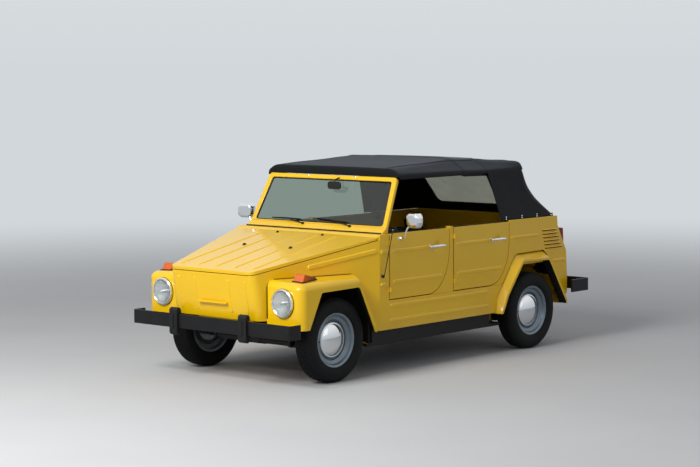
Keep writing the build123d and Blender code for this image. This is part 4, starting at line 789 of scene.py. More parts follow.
# Aluminium-flake stove enamel: fine metallic sparkle, half gloss, its tone varying at random over the wheel.
silver = uneven("silver_flake_enamel", (16.0, 6.0, "#5C6973", "#7F8D97"), grain=(900.0, 1.0, 0.12, 0.0004),
                Metallic=0.55, Roughness=0.4, Coat_Weight=0.35, Coat_Roughness=0.15)
# Carbon-black tread rubber: matt, near black, browned by road dust in broad patches.
tread_rubber = uneven("tyre_rubber", (7.0, 7.0, "#090A0C", "#151617"), rough=(0.6, 0.9),
                      grain=(350.0, 3.0, 0.2, 0.0006), Roughness=0.8, Specular_IOR_Level=0.2)
# Bright zinc on steel hubs and screws: pale grey, cloudy, half polished.
zinc = uneven("zinc_plated_steel", (180.0, 3.0), rough=(0.25, 0.5), Metallic=1.0, Roughness=0.35,
              Base_Color=linear("#A9ADB0"))
axle_tree = copying("round_an_axle", (("Centre", "Vector"), ("Axis", "Vector")), round_an_axle)
block_pattern = tread_pitch()
for node in ("front_left", "rear_left", "front_right", "rear_right"):
    body = "wheel_" + node
    low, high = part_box("tyre_" + node)
    centre = (low + high) / 2
    street = Vector((0, 1 if centre.y > 0 else -1, 0))
    carcass = lathe(f"tyre_carcass_{node}", tyre_outline(), centre, street, tread_rubber, 96)
    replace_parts(finished(carcass, body, sharp=40), "tyre_" + node)
    grown(f"tyre_tread_{node}", axle_tree, [centre], body, "tyre", Shape=block_pattern, Count=TREAD_PITCHES,
          Centre=centre, Axis=(0, 1, 0), Finish=tread_rubber)
    disc = lathe(f"wheel_disc_{node}", wheel_outline(), centre, street, silver, 96)
    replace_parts(finished(disc, body, sharp=50), "wheel_" + node)
    finished(lathe(f"hub_cap_{node}", cap_outline(), centre, street, chrome, 96), body, sharp=60)
    hub = lathe(f"wheel_hub_{node}", [(0.0, 0.012), (0.052, 0.012), (0.052, -0.012), (0.108, -0.018),
                                      (0.114, -0.023), (0.114, -0.033), (0.030, -0.036), (0.0, -0.036)],
                centre, street, zinc, 40)
    finished(hub, body)
    stem_foot = centre + Vector((VALVE_REACH, 0, 0)) + street * 0.008
    stem = piped(f"valve_{node}", [stem_foot, stem_foot + street * 0.012 + Vector((0.002, 0, 0)),
                                   stem_foot + street * 0.034 + Vector((0.008, 0, 0))], 0.0042, rubber)
    finished(stem, body)


# ---- doors ----------------------------------------------------------------------------
# Four ribbed steel doors with a rubber strip along their tops, each hung on two lift-off
# hinges, with a bar handle over a round dish, an inside lever and a strap to pull it shut.
DOORS = (("front", 0.678), ("rear", -0.108))          # and each door's front edge, x
DOOR_SKIN, INNER_SKIN = 0.7623, 0.7175
HANDLE_HEIGHT = 0.951
GRIP_PLANE, BUTTON_PLANE = 0.799, 0.7985
STRIP_PLANE, STRIP_HEIGHT, STRIP_RUN = 0.7385, 1.0825, 0.700


def squeezed(piece, middle, factors):
    """Scale a new piece's points about a middle, before it is fixed to anything."""
    for vertex in piece.data.vertices:
        offset = vertex.co - Vector(middle)
        vertex.co = Vector(middle) + Vector([a * b for a, b in zip(offset, factors)])
    return piece


def outside_handle(door, front, side):
    """A chromed zinc bar on two feet over the dish, its front foot round the push button."""
    body = f"{door}_door_{'left' if side > 0 else 'right'}"
    name = body.replace("door", "handle")
    grip = Vector((front - 0.642, side * GRIP_PLANE, HANDLE_HEIGHT))
    bar = lathe(name + "_bar", [(0, 0), (0.005, 0.0015), (0.0085, 0.009), (0.0108, 0.035), (0.0114, 0.09),
                                (0.0112, 0.140), (0.0100, 0.180), (0.0075, 0.189), (0.004, 0.1915),
                                (0, 0.192)], grip, (1, 0, 0), chrome, 28)
    squeezed(bar, grip, (1, 0.62, 0.95))
    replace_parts(finished(bar, body, sharp=50), name)
    for place, radius in ((front - 0.489, 0.0115), (front - 0.630, 0.0085)):
        foot = lathe(f"{name}_foot_{int((front - place) * 1000)}",
                     [(radius + 0.003, 0.0), (radius + 0.003, 0.002), (radius, 0.003), (radius * 0.9, 0.020),
                      (radius * 0.8, 0.036)], (place, side * DOOR_SKIN, HANDLE_HEIGHT), (0, side, 0), chrome,
                     24)
        finished(foot, body)
    button = lathe(name + "_button", [(0, 0.0068), (0.0055, 0.0068), (0.0070, 0.0058), (0.0072, 0.0)],
                   (front - 0.476, side * BUTTON_PLANE, HANDLE_HEIGHT), (0, side, 0), moulding, 24)
    finished(button, body)


def door_trim(door, front, side):
    """The top strip, the inside lever with its cup, and the pull strap, on one door."""
    body = f"{door}_door_{'left' if side > 0 else 'right'}"
    strip = [(front - 0.012 - STRIP_RUN * step / 24, side * STRIP_PLANE, STRIP_HEIGHT) for step in range(25)]
    finished(piped(body + "_top_strip", strip, 0.0062, rubber), body)
    inner = side * INNER_SKIN
    cup = lathe(body + "_lever_cup", [(0, 0.0015), (0.026, 0.0015), (0.032, 0.006), (0.036, 0.0065),
                                      (0.038, 0.004), (0.038, -0.001)], (front - 0.56, inner, 0.955),
                (0, -side, 0), moulding, 32)
    finished(cup, body)
    lever = smooth_run([(front - back, inner - side * out, z) for back, out, z in (
        (0.56, 0.004, 0.955), (0.557, 0.014, 0.957), (0.50, 0.018, 0.960))], 5)
    finished(piped(body + "_lever", lever, 0.0058, chrome), body)
    strap_line = smooth_run([(front - 0.42, inner, 0.905), (front - 0.40, inner - side * 0.022, 0.900),
                             (front - 0.30, inner - side * 0.030, 0.897),
                             (front - 0.20, inner - side * 0.022, 0.900), (front - 0.18, inner, 0.905)], 6)
    strap = squeezed(piped(body + "_pull_strap", strap_line, 0.012, moulding), (0, inner - side * 0.02, 0.90),
                     (1, 0.45, 1))
    for vertex in strap.data.vertices:
        vertex.co.y = side * min(abs(vertex.co.y), abs(inner))
    finished(strap, body, sharp=50)


# Injection-moulded black ABS: even, half-matt, with a fine spark-eroded grain.
moulding = uneven("moulded_black_abs", (25.0, 3.0, "#0E0E0F", "#1A1A1B"), grain=(800.0, None, 0.25, 0.0004),
                  Roughness=0.45, Specular_IOR_Level=0.35)
for door, front in DOORS:
    for side, name in SIDES:
        pressed_copy(f"{door}_door_{name}", enamel)
        outside_handle(door, front, side)
        door_trim(door, front, side)
pressed_copy("door_hinges", enamel, edge=0.0008)


# ---- door mirrors ---------------------------------------------------------------------
# A chromed shell with a flat glass, on a cranked chromed stalk screwed to the front door.
MIRROR = Vector((0.556, 0.902, 1.184))
MIRROR_TOE = math.radians(-12)
MIRROR_BACK = 0.0306


def round_ring(half_width, half_height, inset, radius, steps):
    """A rectangle's outline, its corners drawn about points that lie inset from both sides."""
    ring = []
    for a_sign, b_sign, start in ((1, 1, 0), (-1, 1, 90), (-1, -1, 180), (1, -1, 270)):
        middle = (a_sign * (half_width - inset), b_sign * (half_height - inset))
        ring += arc(middle, radius, start, start + 90, steps)
    return ring


X, Y, Z = Vector((1, 0, 0)), Vector((0, 1, 0)), Vector((0, 0, 1))
LYING = (X, Y, Z)                                    # a plate's width, height and outward directions


def rounded_plate(name, centre, across, upward, outward, half_width, half_height, corner, thick, finish):
    """A flat plate with round corners, thick metres deep along outward, its face pointing that way."""
    ring = round_ring(half_width, half_height, corner, corner, 6)
    flat = [Vector(centre) + Vector(across) * a + Vector(upward) * b for a, b in ring]
    count = len(flat)
    points = flat + [spot + Vector(outward) * thick for spot in flat]
    faces = [tuple(range(count)), tuple(range(2 * count - 1, count - 1, -1))]
    faces += [(step, step + count, (step + 1) % count + count, (step + 1) % count) for step in range(count)]
    return cleaned(new_piece(name, points, faces, finish))


# Front-silvered float glass: a clean, slightly dark mirror.
silvering = uneven("silvered_mirror_glass", (60.0, 3.0), rough=(0.01, 0.05), Metallic=1.0, Roughness=0.02,
                   Base_Color=linear("#C9D2D6"))
for side, name in SIDES:
    pressed_copy(f"mirror_{name}", chrome, edge=0.0)
    turn = MIRROR_TOE * side
    across = Vector((-math.sin(turn), math.cos(turn), 0))
    rearward = Vector((-math.cos(turn), -math.sin(turn), 0))
    centre = Vector((MIRROR.x, side * MIRROR.y, MIRROR.z)) + rearward * MIRROR_BACK
    for part, half_width, half_height, corner, thick, finish, slot in (
            ("bezel", 0.0665, 0.0535, 0.040, 0.0010, moulding, "black_plastic"),
            ("glass", 0.0620, 0.0490, 0.036, 0.0016, silvering, "glass")):
        plate = rounded_plate(f"mirror_{part}_{name}", centre, across, Z, rearward, half_width, half_height,
                              corner, thick, finish)
        finished(plate, f"front_door_{name}")


# ---- windscreen -----------------------------------------------------------------------
# A tubular steel frame that can fold down, with laminated glass in a black rubber channel,
# two wipers on its foot rail, an inside mirror on its header and studs for the top's front.
def laminated_glass():
    """Laminated float glass: clear with a green-grey cast, a hard gloss and a little dust."""
    material, tree, shader = new_finish("laminated_glass", Transmission_Weight=1.0, Roughness=0.0, IOR=1.5,
                                        Base_Color=linear("#8E9E93"))
    place = add(tree, "ShaderNodeTexCoord").outputs["Object"]
    film = add(tree, "ShaderNodeTexNoise", {"Vector": place, "Scale": 12.0, "Detail": 5.0})
    rough = add(tree, "ShaderNodeMapRange", {"Value": film.outputs["Fac"], "From Min": 0.5, "From Max": 0.9,
                                             "To Max": 0.06})
    tree.links.new(rough.outputs[0], shader.inputs["Roughness"])
    return material


SCREEN_FOOT = Vector((0.690, 0, 1.096))
SCREEN_HEAD = Vector((0.491, 0, 1.504))
SCREEN_UP = (SCREEN_HEAD - SCREEN_FOOT).normalized()
SCREEN_FACE = Vector((SCREEN_UP.z, 0, -SCREEN_UP.x))
SCREEN_HEIGHT = (SCREEN_HEAD - SCREEN_FOOT).length


def on_screen(y, up, proud=0.0):
    """A point on the screen's front plane: across, up the slope from its foot, and out of it."""
    return SCREEN_FOOT + Vector((0, y, 0)) + SCREEN_UP * up + SCREEN_FACE * proud


def channel_line(inside, proud):
    """The glass opening's edge, moved in by inside, with 22 mm round corners."""
    foot, head, corner = 0.044 + inside, SCREEN_HEIGHT - 0.035 - inside, 0.022
    foot_half, head_half = 0.684 - inside, 0.639 - inside
    line = []
    for sign_y, up, half, start in ((1, foot, foot_half, -90), (1, head, head_half, 0),
                                    (-1, head, head_half, 90), (-1, foot, foot_half, 180)):
        inward = 1 if up == foot else -1
        for a, b in arc((sign_y * (half - corner), up + inward * corner), corner, start, start + 90, 5):
            line.append(on_screen(a, b, proud))
    return line


screen_glass = laminated_glass()
pressed_copy("windshield_frame", enamel, edge=0.004)
pressed_copy("windshield_glass", screen_glass, edge=0.0)
finished(piped("screen_channel", channel_line(0.003, -0.0105), 0.0062, rubber, closed=True), "body")
foot_seal = [(0.7335, -0.720 + 1.440 * step / 40, 1.0865) for step in range(41)]
finished(piped("screen_foot_seal", foot_seal, 0.0050, rubber), "body")
# Each: side, pivot, then the blade's two ends as across and up the screen.
WIPERS = (("left", 0.359, (-0.021, 0.078), (0.318, 0.060)),
          ("right", -0.141, (-0.501, 0.063), (-0.190, 0.064)))
for name, pivot_y, right_end, left_end in WIPERS:
    pivot = on_screen(pivot_y, 0.024)
    spindle = lathe(f"wiper_spindle_{name}", [(0, 0.024), (0.006, 0.0235), (0.008, 0.020), (0.009, 0.010),
                                              (0.013, 0.008), (0.014, 0.0), (0.014, -0.001)],
                    pivot, SCREEN_FACE, black_paint, 24)
    finished(spindle, "body")
    first, last = on_screen(*right_end, -0.002), on_screen(*left_end, -0.002)
    middle = (first + last) / 2
    knuckle = middle + SCREEN_FACE * 0.014
    arm = piped(f"wiper_arm_{name}", smooth_run([pivot + SCREEN_FACE * 0.019,
                                                 pivot.lerp(middle, 0.45) + SCREEN_FACE * 0.024,
                                                 pivot.lerp(middle, 0.8) + SCREEN_FACE * 0.020, knuckle], 6),
                0.0042, black_paint)
    finished(arm, "body")
    bow = [first.lerp(last, share) + SCREEN_FACE * lift
           for share, lift in ((0.06, 0.004), (0.3, 0.009), (0.7, 0.009), (0.94, 0.004))]
    yoke = piped(f"wiper_yoke_{name}", smooth_run(bow[:2] + [knuckle] + bow[2:], 6), 0.0036, black_paint)
    finished(yoke, "body")
    finished(piped(f"wiper_rubber_{name}", [first, last], 0.0050, rubber), "body")
finished(rounded_plate("inside_mirror_case", (0.556, 0.090, 1.427), Y, Z, X, 0.068, 0.031, 0.024, 0.014,
                       moulding), "body", edge=0.003)
finished(rounded_plate("inside_mirror_glass", (0.5558, 0.090, 1.427), Y, Z, -X, 0.063, 0.027, 0.021, 0.001,
                       silvering), "body")
arm = smooth_run([(x, 0.090, z) for x, z in ((0.566, 1.432), (0.560, 1.462), (0.530, 1.478),
                                             (0.482, 1.484))], 6)
finished(piped("inside_mirror_arm", arm, 0.0052, moulding), "body")
for y in (-0.253, 0.249):
    stud = lathe(f"header_stud_{'left' if y > 0 else 'right'}",
                 [(0, 0.006), (0.004, 0.0055), (0.0055, 0.003), (0.0085, 0.0015), (0.0085, 0.0)],
                 on_screen(y, SCREEN_HEIGHT - 0.012), SCREEN_FACE, chrome, 20)
    finished(stud, "body")


# ---- soft top -------------------------------------------------------------------------
# A cover of PVC-coated canvas over two steel hoops: a roof from the screen's header to
# the rear hoop, welted to a hull that is stretched down and snapped to the body's rail.
def coated_canvas():
    """PVC-coated cotton duck: near-black blue, painted lighter slate blue on its upward faces as a painted
    sky reflection, fine woven grain.
    """
    material, tree, shader = new_finish("pvc_coated_canvas", Roughness=0.62, Specular_IOR_Level=0.18)
    place = add(tree, "ShaderNodeTexCoord").outputs["Object"]
    fade = add(tree, "ShaderNodeTexNoise", {"Vector": place, "Scale": 3.5, "Detail": 6.0})
    colour = add(tree, "ShaderNodeMix", {"Factor": fade.outputs["Fac"], "A": linear("#07090B"),
                                         "B": linear("#0F1215")}, data_type="RGBA")
    # Faces that point up are painted lighter slate blue: a painted reflection of the bright sky on the roof's
    # crowns.
    facing = add(tree, "ShaderNodeNewGeometry").outputs["Normal"]
    slope = add(tree, "ShaderNodeSeparateXYZ", {"Vector": facing})
    upward_sky_reflection = add(tree, "ShaderNodeMapRange", {"Value": slope.outputs["Z"], "From Min": 0.55,
                                                "From Max": 0.98})
    sky_reflected_canvas = add(tree, "ShaderNodeMix", {"Factor": upward_sky_reflection.outputs[0], "A": colour.outputs["Result"],
                                        "B": linear("#272F38")}, data_type="RGBA")
    tree.links.new(sky_reflected_canvas.outputs["Result"], shader.inputs["Base Color"])
    # Threads are 0.7 mm apart in the real duck; they are drawn 3 mm apart so that they show.
    cloth = add(tree, "ShaderNodeUVMap").outputs["UV"]
    warp, weft = (add(tree, "ShaderNodeTexWave", {"Vector": cloth, "Scale": 105.0, "Distortion": 0.3},
                      bands_direction=way).outputs["Fac"] for way in "XY")
    weave = add(tree, "ShaderNodeMath", {0: warp, 1: weft}, operation="MAXIMUM")
    bump = add(tree, "ShaderNodeBump", {"Height": weave.outputs[0], "Strength": 0.25, "Distance": 0.0007})
    tree.links.new(bump.outputs["Normal"], shader.inputs["Normal"])
    return material


def cloth_grid(name, rows, finish, wall=0.0025, skip=None):
    """A woven sheet through rows of points, its UV map in metres of cloth, wall metres thick."""
    width = len(rows[0])
    points = [spot for row in rows for spot in row]
    faces = []
    for row in range(len(rows) - 1):
        for column in range(width - 1):
            first = row * width + column
            if not (skip and skip((points[first] + points[first + width + 1]) / 2)):
                faces.append((first, first + width, first + width + 1, first + 1))
    across = [0.0]
    along = [0.0]
    for column in range(1, width):
        across.append(across[-1] + (rows[0][column] - rows[0][column - 1]).length)
    for row in range(1, len(rows)):
        along.append(along[-1] + (rows[row][width // 2] - rows[row - 1][width // 2]).length)
    piece = new_piece(name, points, faces, finish)
    chart = piece.data.uv_layers.new(name="cloth")
    for loop in piece.data.loops:
        row, column = divmod(loop.vertex_index, width)
        chart.data[loop.index].uv = (across[column], along[row])
    return walled(piece, wall)


def along_a_path(tree, given):
    """Equal steps along a line, each level with an upward direction."""
    curve = add(tree, "GeometryNodeMeshToCurve", {"Mesh": given["Path"]})
    spots = add(tree, "GeometryNodeCurveToPoints", {"Curve": curve.outputs[0], "Count": given["Count"]},
                mode="COUNT")
    ahead = add(tree, "FunctionNodeAlignRotationToVector", {"Vector": spots.outputs["Tangent"]}, axis="X")
    level = add(tree, "FunctionNodeAlignRotationToVector",
                {"Rotation": ahead.outputs[0], "Vector": given["Upward"]}, axis="Z", pivot_axis="X")
    return spots.outputs["Points"], level.outputs[0]


def bend(points, turn_in, steps):
    """Round a broken line's inner corners: each is cut back turn_in metres and eased over."""
    line = [Vector(points[0])]
    for before, corner, after, cut in zip(points, points[1:], points[2:], turn_in):
        before, corner, after = Vector(before), Vector(corner), Vector(after)
        start = corner + (before - corner).normalized() * cut
        end = corner + (after - corner).normalized() * cut
        for step in range(steps + 1):
            t = step / steps
            line.append(start * (1 - t) ** 2 + corner * 2 * t * (1 - t) + end * t * t)
    return line + [Vector(points[-1])]


def spaced(line, count):
    """The same line with count points at equal distances."""
    lengths = [0.0]
    for a, b in zip(line, line[1:]):
        lengths.append(lengths[-1] + (b - a).length)
    result = []
    leg = 0
    for step in range(count):
        reach = lengths[-1] * step / (count - 1)
        while leg < len(line) - 2 and lengths[leg + 1] < reach:
            leg += 1
        share = (reach - lengths[leg]) / max(lengths[leg + 1] - lengths[leg], 1e-9)
        result.append(line[leg].lerp(line[leg + 1], min(max(share, 0), 1)))
    return result


# Each station: x, half width and height of the flat, and height of the side crease.
ROOF_STATIONS = [(0.485, 0.640, 1.571, 1.527), (-0.322, 0.545, 1.620, 1.522), (-0.630, 0.545, 1.608, 1.514),
                 (-1.095, 0.676, 1.571, 1.522)]
ROOF_HALF = 0.703
ROOF_SAG = 0.009
HULL_TOP = (1.510, -0.616, -1.101, 0.7025, 0.030)     # height, front x, rear x, half width, corner
HULL_FOOT = (1.0955, -0.752, -1.490, 0.748, 0.024)
HULL_MIDDLE_CORNER = 0.150
WINDOW = (0.445, 1.181, 1.436, 0.036)                 # half width, low, high, corner radius


def roof_profile(x):
    """The roof's cross-section from its left hem over to its right hem."""
    for ahead, behind in zip(ROOF_STATIONS, ROOF_STATIONS[1:]):
        if x >= behind[0] - 1e-6:
            break
    share = min(max((ahead[0] - x) / (ahead[0] - behind[0]), 0), 1)
    eased = share + 0.06 * math.sin(2 * math.pi * share)
    flat, high, edge = (a + (b - a) * eased for a, b in zip(ahead[1:], behind[1:]))
    dip = ROOF_SAG * math.sin(math.pi * share) ** 2
    hem = 1.487 + 0.014 * min(max((-0.58 - x) / 0.10, 0), 1)
    half = [(x, ROOF_HALF, hem), (x, ROOF_HALF, edge), (x, flat, high - dip * 0.5),
            (x, 0, high + 0.006 - dip)]
    whole = half + [(x, -y, z) for _, y, z in half[-2::-1]]
    return spaced(bend(whole, (0.014, 0.045, 0.30, 0.045, 0.014), 7), 125)


def wrinkled(spot, outward, depth, seed):
    """A cloth point moved in or out by slow folds."""
    wave = noise.noise(Vector((spot.x * 3.1 + seed, spot.y * 2.3, spot.z * 6.0)))
    fine = noise.noise(Vector((spot.x * 11.0, spot.y * 9.0 + seed, spot.z * 14.0)))
    return spot + outward * depth * (wave + 0.35 * fine - 0.4)


def roof_rows():
    """The header's front band, the roof back to the rear hoop, and the flap down over the hull."""
    front = roof_profile(0.485)
    rows = []
    for share, x in ((0.0, 0.4850), (0.25, 0.4862), (0.5, 0.4868), (0.75, 0.4862), (0.92, 0.4835)):
        rows.append([Vector((x, p.y, min(p.z, 1.5045) * (1 - share) + p.z * share)) for p in front])
    x = 0.478
    while x > -1.085:
        rows.append([wrinkled(p, Z, 0.0022, 1.7) if abs(p.y) < 0.66 else p
                     for p in roof_profile(x)])
        x -= 0.0125
    rear = roof_profile(-1.095)
    for share, x in ((0.96, -1.0965), (0.75, -1.1020), (0.4, -1.1045), (0.0, -1.1070)):
        rows.append([Vector((x + 0.004 * (abs(p.y) > 0.690), p.y,
                             min(p.z, 1.502) * (1 - share) + p.z * share)) for p in rear])
    return rows


def hull_level(z):
    """Front x, rear x, half width and corner radius of the hull at a height."""
    share = (HULL_TOP[0] - z) / (HULL_TOP[0] - HULL_FOOT[0])
    front, rear, half = (a + (b - a) * share for a, b in zip(HULL_TOP[1:4], HULL_FOOT[1:4]))
    swell = math.sin(math.pi * min(max(share, 0), 1)) ** 1.2
    corner = HULL_TOP[4] + (HULL_FOOT[4] - HULL_TOP[4]) * share + (HULL_MIDDLE_CORNER - 0.027) * swell
    return front, rear, half, corner


def hull_row(z):
    """The hull's outline at a height, from its left front edge round the back to its right one."""
    front, rear, half, corner = hull_level(z)
    side = [Vector((front + (rear + corner - front) * step / 34, half, z)) for step in range(34)]
    bow = [Vector((rear + corner + corner * math.cos(t), half - corner + corner * math.sin(t), z))
           for t in (math.pi / 2 * (1 + step / 14) for step in range(14))]
    back = [Vector((rear, (half - corner) * (1 - step / 52), z)) for step in range(53)]
    left = side + bow + back
    row = left + [Vector((p.x, -p.y, p.z)) for p in left[-2::-1]]
    share = (HULL_TOP[0] - z) / (HULL_TOP[0] - HULL_FOOT[0])
    slack = math.sin(math.pi * share) ** 1.5
    result = []
    for p in row:
        if abs(p.y) < WINDOW[0] + 0.05 and WINDOW[1] - 0.05 < z < WINDOW[2] + 0.05:
            result.append(p)
            continue
        outward = Vector((0, math.copysign(1, p.y), 0.1)).normalized()
        if abs(p.y) < half - corner - 0.01:
            outward = Vector((-1, 0, 0.5)).normalized()
        lull = 0.4
        if abs(p.y) > half - 0.01:
            lull = math.sin(math.pi * min(max((front - p.x) / (front - rear), 0), 1))
        result.append(wrinkled(p - outward * 0.007 * slack * lull, outward, 0.0045 * slack, 5.3))
    return result


def on_back(y, z, proud=0.0):
    """A point on the hull's sloping back, proud metres outside it."""
    rear = hull_level(z)[1]
    slope = Vector((-(HULL_TOP[0] - HULL_FOOT[0]), 0, HULL_TOP[2] - HULL_FOOT[2])).normalized()
    return Vector((rear, y, z)) + slope * proud


def round_window(grow):
    """The window's outline on the back, grown outwards, as (y, z) pairs."""
    half, low, high, corner = WINDOW
    ring = round_ring(half, (high - low) / 2, corner, corner + grow, 7)
    return [(y, (low + high) / 2 + z) for y, z in ring]


def in_window(spot):
    """Whether a point of the back lies in the hole behind the window's sewn border."""
    return (spot.x < -1.10 and abs(spot.y) < WINDOW[0] + 0.008
            and WINDOW[1] - 0.008 < spot.z < WINDOW[2] + 0.008)


def tape(name, line, outward, half_width, finish, rise=0.0014):
    """A flat seam tape along a line; outward gives the cloth's direction at each point."""
    points = []
    for step, spot in enumerate(line):
        ahead = (line[min(step + 1, len(line) - 1)] - line[max(step - 1, 0)]).normalized()
        normal = outward[step].normalized()
        across = ahead.cross(normal).normalized()
        for side, height in ((-1, 0.0), (-0.86, rise), (0.86, rise), (1, 0.0), (0, -0.001)):
            points.append(spot + across * half_width * side + normal * height)
    faces = []
    for step in range(len(line) - 1):
        for corner in range(5):
            beside = (corner + 1) % 5
            first = step * 5
            faces.append((first + corner, first + beside, first + 5 + beside, first + 5 + corner))
    last = (len(line) - 1) * 5
    faces += [(4, 3, 2, 1, 0), (last, last + 1, last + 2, last + 3, last + 4)]
    return cleaned(new_piece(name, points, faces, finish))


def stitched(name, line, upward):
    """A row of stitches along a line, drawn 5 mm long at 8 mm, where real ones are 4 mm."""
    length = sum((b - a).length for a, b in zip(line, line[1:]))
    grown(name, path_tree, line, "body", "top_fabric", Shape=stitch, Count=int(length / STITCH_PITCH),
          Upward=upward, Finish=thread)


path_tree = copying("along_a_path", (("Path", "Geometry"), ("Upward", "Vector")), along_a_path)
canvas = coated_canvas()
# Calendered clear PVC: smoky with age, soft gloss, shallow ripples 60 mm apart.
vinyl_pane = uneven("clear_vinyl_pane", (9.0, 4.0, "#8A8B7B", "#A6A698"), grain=(16.0, 1.0, 0.35, 0.006),
                    Transmission_Weight=0.94, Roughness=0.05, IOR=1.5)
# Bonded black polyester thread: tight, round and slightly shiny.
thread = uneven("bonded_polyester_thread", (300.0, 2.0, "#1B1D20", "#34383D"), Roughness=0.5,
                Specular_IOR_Level=0.4)
STITCH_PITCH = 0.008
STITCH_POINTS = [(-0.0026, 0, -0.0004), (-0.0015, 0.0007, 0.0005), (-0.0015, -0.0007, 0.0005),
                 (0.0015, 0.0007, 0.0005), (0.0015, -0.0007, 0.0005), (0.0026, 0, -0.0004)]
stitch = pattern(new_piece("stitch_pattern", STITCH_POINTS, [(0, 2, 1), (1, 2, 4, 3), (3, 4, 5), (0, 1, 3, 5),
                                                             (5, 4, 2, 0)]))
roof = cloth_grid("roof_canvas", roof_rows(), canvas)
hull_heights = [HULL_TOP[0] + (HULL_FOOT[0] - HULL_TOP[0]) * step / 42 for step in range(43)]
hull = cloth_grid("hull_canvas", [hull_row(z) for z in hull_heights], canvas, skip=in_window)
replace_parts(roof, "soft_top")
for piece in (roof, hull):
    finished(piece, "body", sharp=60)
pane_rows = [[on_back(y, z, -0.004 + 0.0015 * math.sin(z * 55) * math.sin(y * 31))
              for y in (0.452 - 0.904 * step / 60 for step in range(61))]
             for z in (1.443 - 0.269 * step / 30 for step in range(31))]
pane = cloth_grid("rear_pane", pane_rows, vinyl_pane, wall=0.001)
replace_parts(pane, "rear_window")
finished(pane, "body", sharp=60)
back_normal = on_back(0, 1.3, 1.0) - on_back(0, 1.3)
border_middle = [on_back(y, z, 0.0005) for y, z in round_window(0.014)]
border = tape("window_border", border_middle + border_middle[:1], [back_normal] * (len(border_middle) + 1),
              0.0145, canvas, rise=0.0022)
finished(border, "body")
for number, grow in enumerate((0.004, 0.024)):
    ring = [on_back(y, z, 0.0026) for y, z in round_window(grow)]
    stitched(f"window_stitching_{number}", ring + ring[:1], back_normal)


def towards(direction, way):
    """The direction, or its opposite, whichever points that way."""
    return -direction if direction.dot(Vector(way)) < 0 else direction


def lifted(line, outward):
    """The line moved 0.6 mm off the cloth."""
    return [p + n.normalized() * 0.0006 for p, n in zip(line, outward)]


def roof_line(index, start, end):
    """A line along the roof at one place of its cross-section, with the outward directions."""
    line = []
    outward = []
    x = start
    while x >= end:
        row = roof_profile(x)
        line.append(row[index])
        tangent = row[index + 1] - row[index - 1]
        outward.append(towards(X.cross(tangent), Z))
        x -= 0.02
    return lifted(line, outward), outward


for index, name in ((16, "left"), (108, "right")):
    line, outward = roof_line(index, 0.47, -1.085)
    finished(tape(f"roof_seam_{name}", line, outward, 0.011, canvas), "body")
    for number, offset in enumerate((-0.006, 0.006)):
        side = [(b - a).normalized() for a, b in zip(line, line[1:])]
        side.append(side[-1])
        run = [p + n.normalized() * 0.0016 + s.cross(n).normalized() * offset
               for p, n, s in zip(line, outward, side)]
        stitched(f"roof_stitching_{name}_{number}", run, sum(outward, Vector()))
for x, name in ((-0.330, "front"), (-0.636, "main")):
    row = roof_profile(x)[3:-3]
    outward = []
    for step in range(len(row)):
        tangent = row[min(step + 1, len(row) - 1)] - row[max(step - 1, 0)]
        outward.append(tangent.cross(X))
        if outward[-1].z < -0.01 or (abs(outward[-1].z) <= 0.01 and outward[-1].y * row[step].y < 0):
            outward[-1] = -outward[-1]
    seam = tape(f"roof_cross_seam_{name}", lifted(row, outward), outward, 0.012, canvas)
    finished(seam, "body")
header_welt = [(0.4867, 0.690 - 1.380 * step / 60, 1.5075) for step in range(61)]
finished(piped("header_welt", header_welt, 0.0038, rubber), "body")
rear_welt = [(-1.1025, p.y, p.z - 0.004) for p in roof_profile(-1.095)[14:-14]]
finished(piped("rear_welt", rear_welt, 0.0035, canvas), "body")
for side, name in SIDES:
    edge = []
    for z in hull_heights[1:]:
        front, rear, half, corner = hull_level(z)
        edge.append(Vector((front - 0.016, side * (half + 0.0008), z)))
    finished(tape(f"hull_edge_{name}", edge, [Vector((0, side, 0.1))] * len(edge), 0.017, canvas, rise=0.002),
             "body")
    seam = [p + Vector((-0.012, side * 0.0028, 0)) for p in edge]
    stitched(f"hull_stitching_{name}", seam, Vector((0, side, 0)))
    foot = [Vector((HULL_FOOT[1] - 0.004 + (HULL_FOOT[2] - HULL_FOOT[1] + 0.03) * step / 29,
                    side * (HULL_FOOT[3] + 0.0008), 1.110)) for step in range(30)]
    finished(tape(f"hull_hem_{name}", foot, [Vector((0, side, 0.1))] * len(foot), 0.013, canvas, rise=0.002),
             "body")
    for number, x in enumerate((-0.815, -1.030, -1.240, -1.440)):
        for high, radius in ((1.104, 0.0055), (1.121, 0.0046)):
            stud = lathe(f"top_stud_{name}_{number}_{int(high * 1000)}",
                         [(0, 0.0055), (radius * 0.5, 0.0052), (radius * 0.8, 0.0038), (radius, 0.0015),
                          (radius * 1.25, 0.0008), (radius * 1.25, -0.001)],
                         (x, side * 0.7505, high), (0, side, 0), chrome, 18)
            finished(stud, "body")
for number in range(6):
    stud = lathe(f"top_stud_rear_{number}", [(0, 0.0055), (0.0028, 0.0046), (0.0044, 0.0034),
                                             (0.0055, 0.0014), (0.0069, 0.0008), (0.0069, -0.001)],
                 on_back(-0.60 + 1.20 * number / 5, 1.112, 0.002), back_normal, chrome, 18)
    finished(stud, "body")
back_hem = [on_back(0.70 - 1.40 * step / 40, 1.112, 0.0008) for step in range(41)]
finished(tape("hull_hem_back", back_hem, [back_normal] * 41, 0.013, canvas, rise=0.002), "body")
pressed_copy("top_bows", black_paint, edge=0.0)


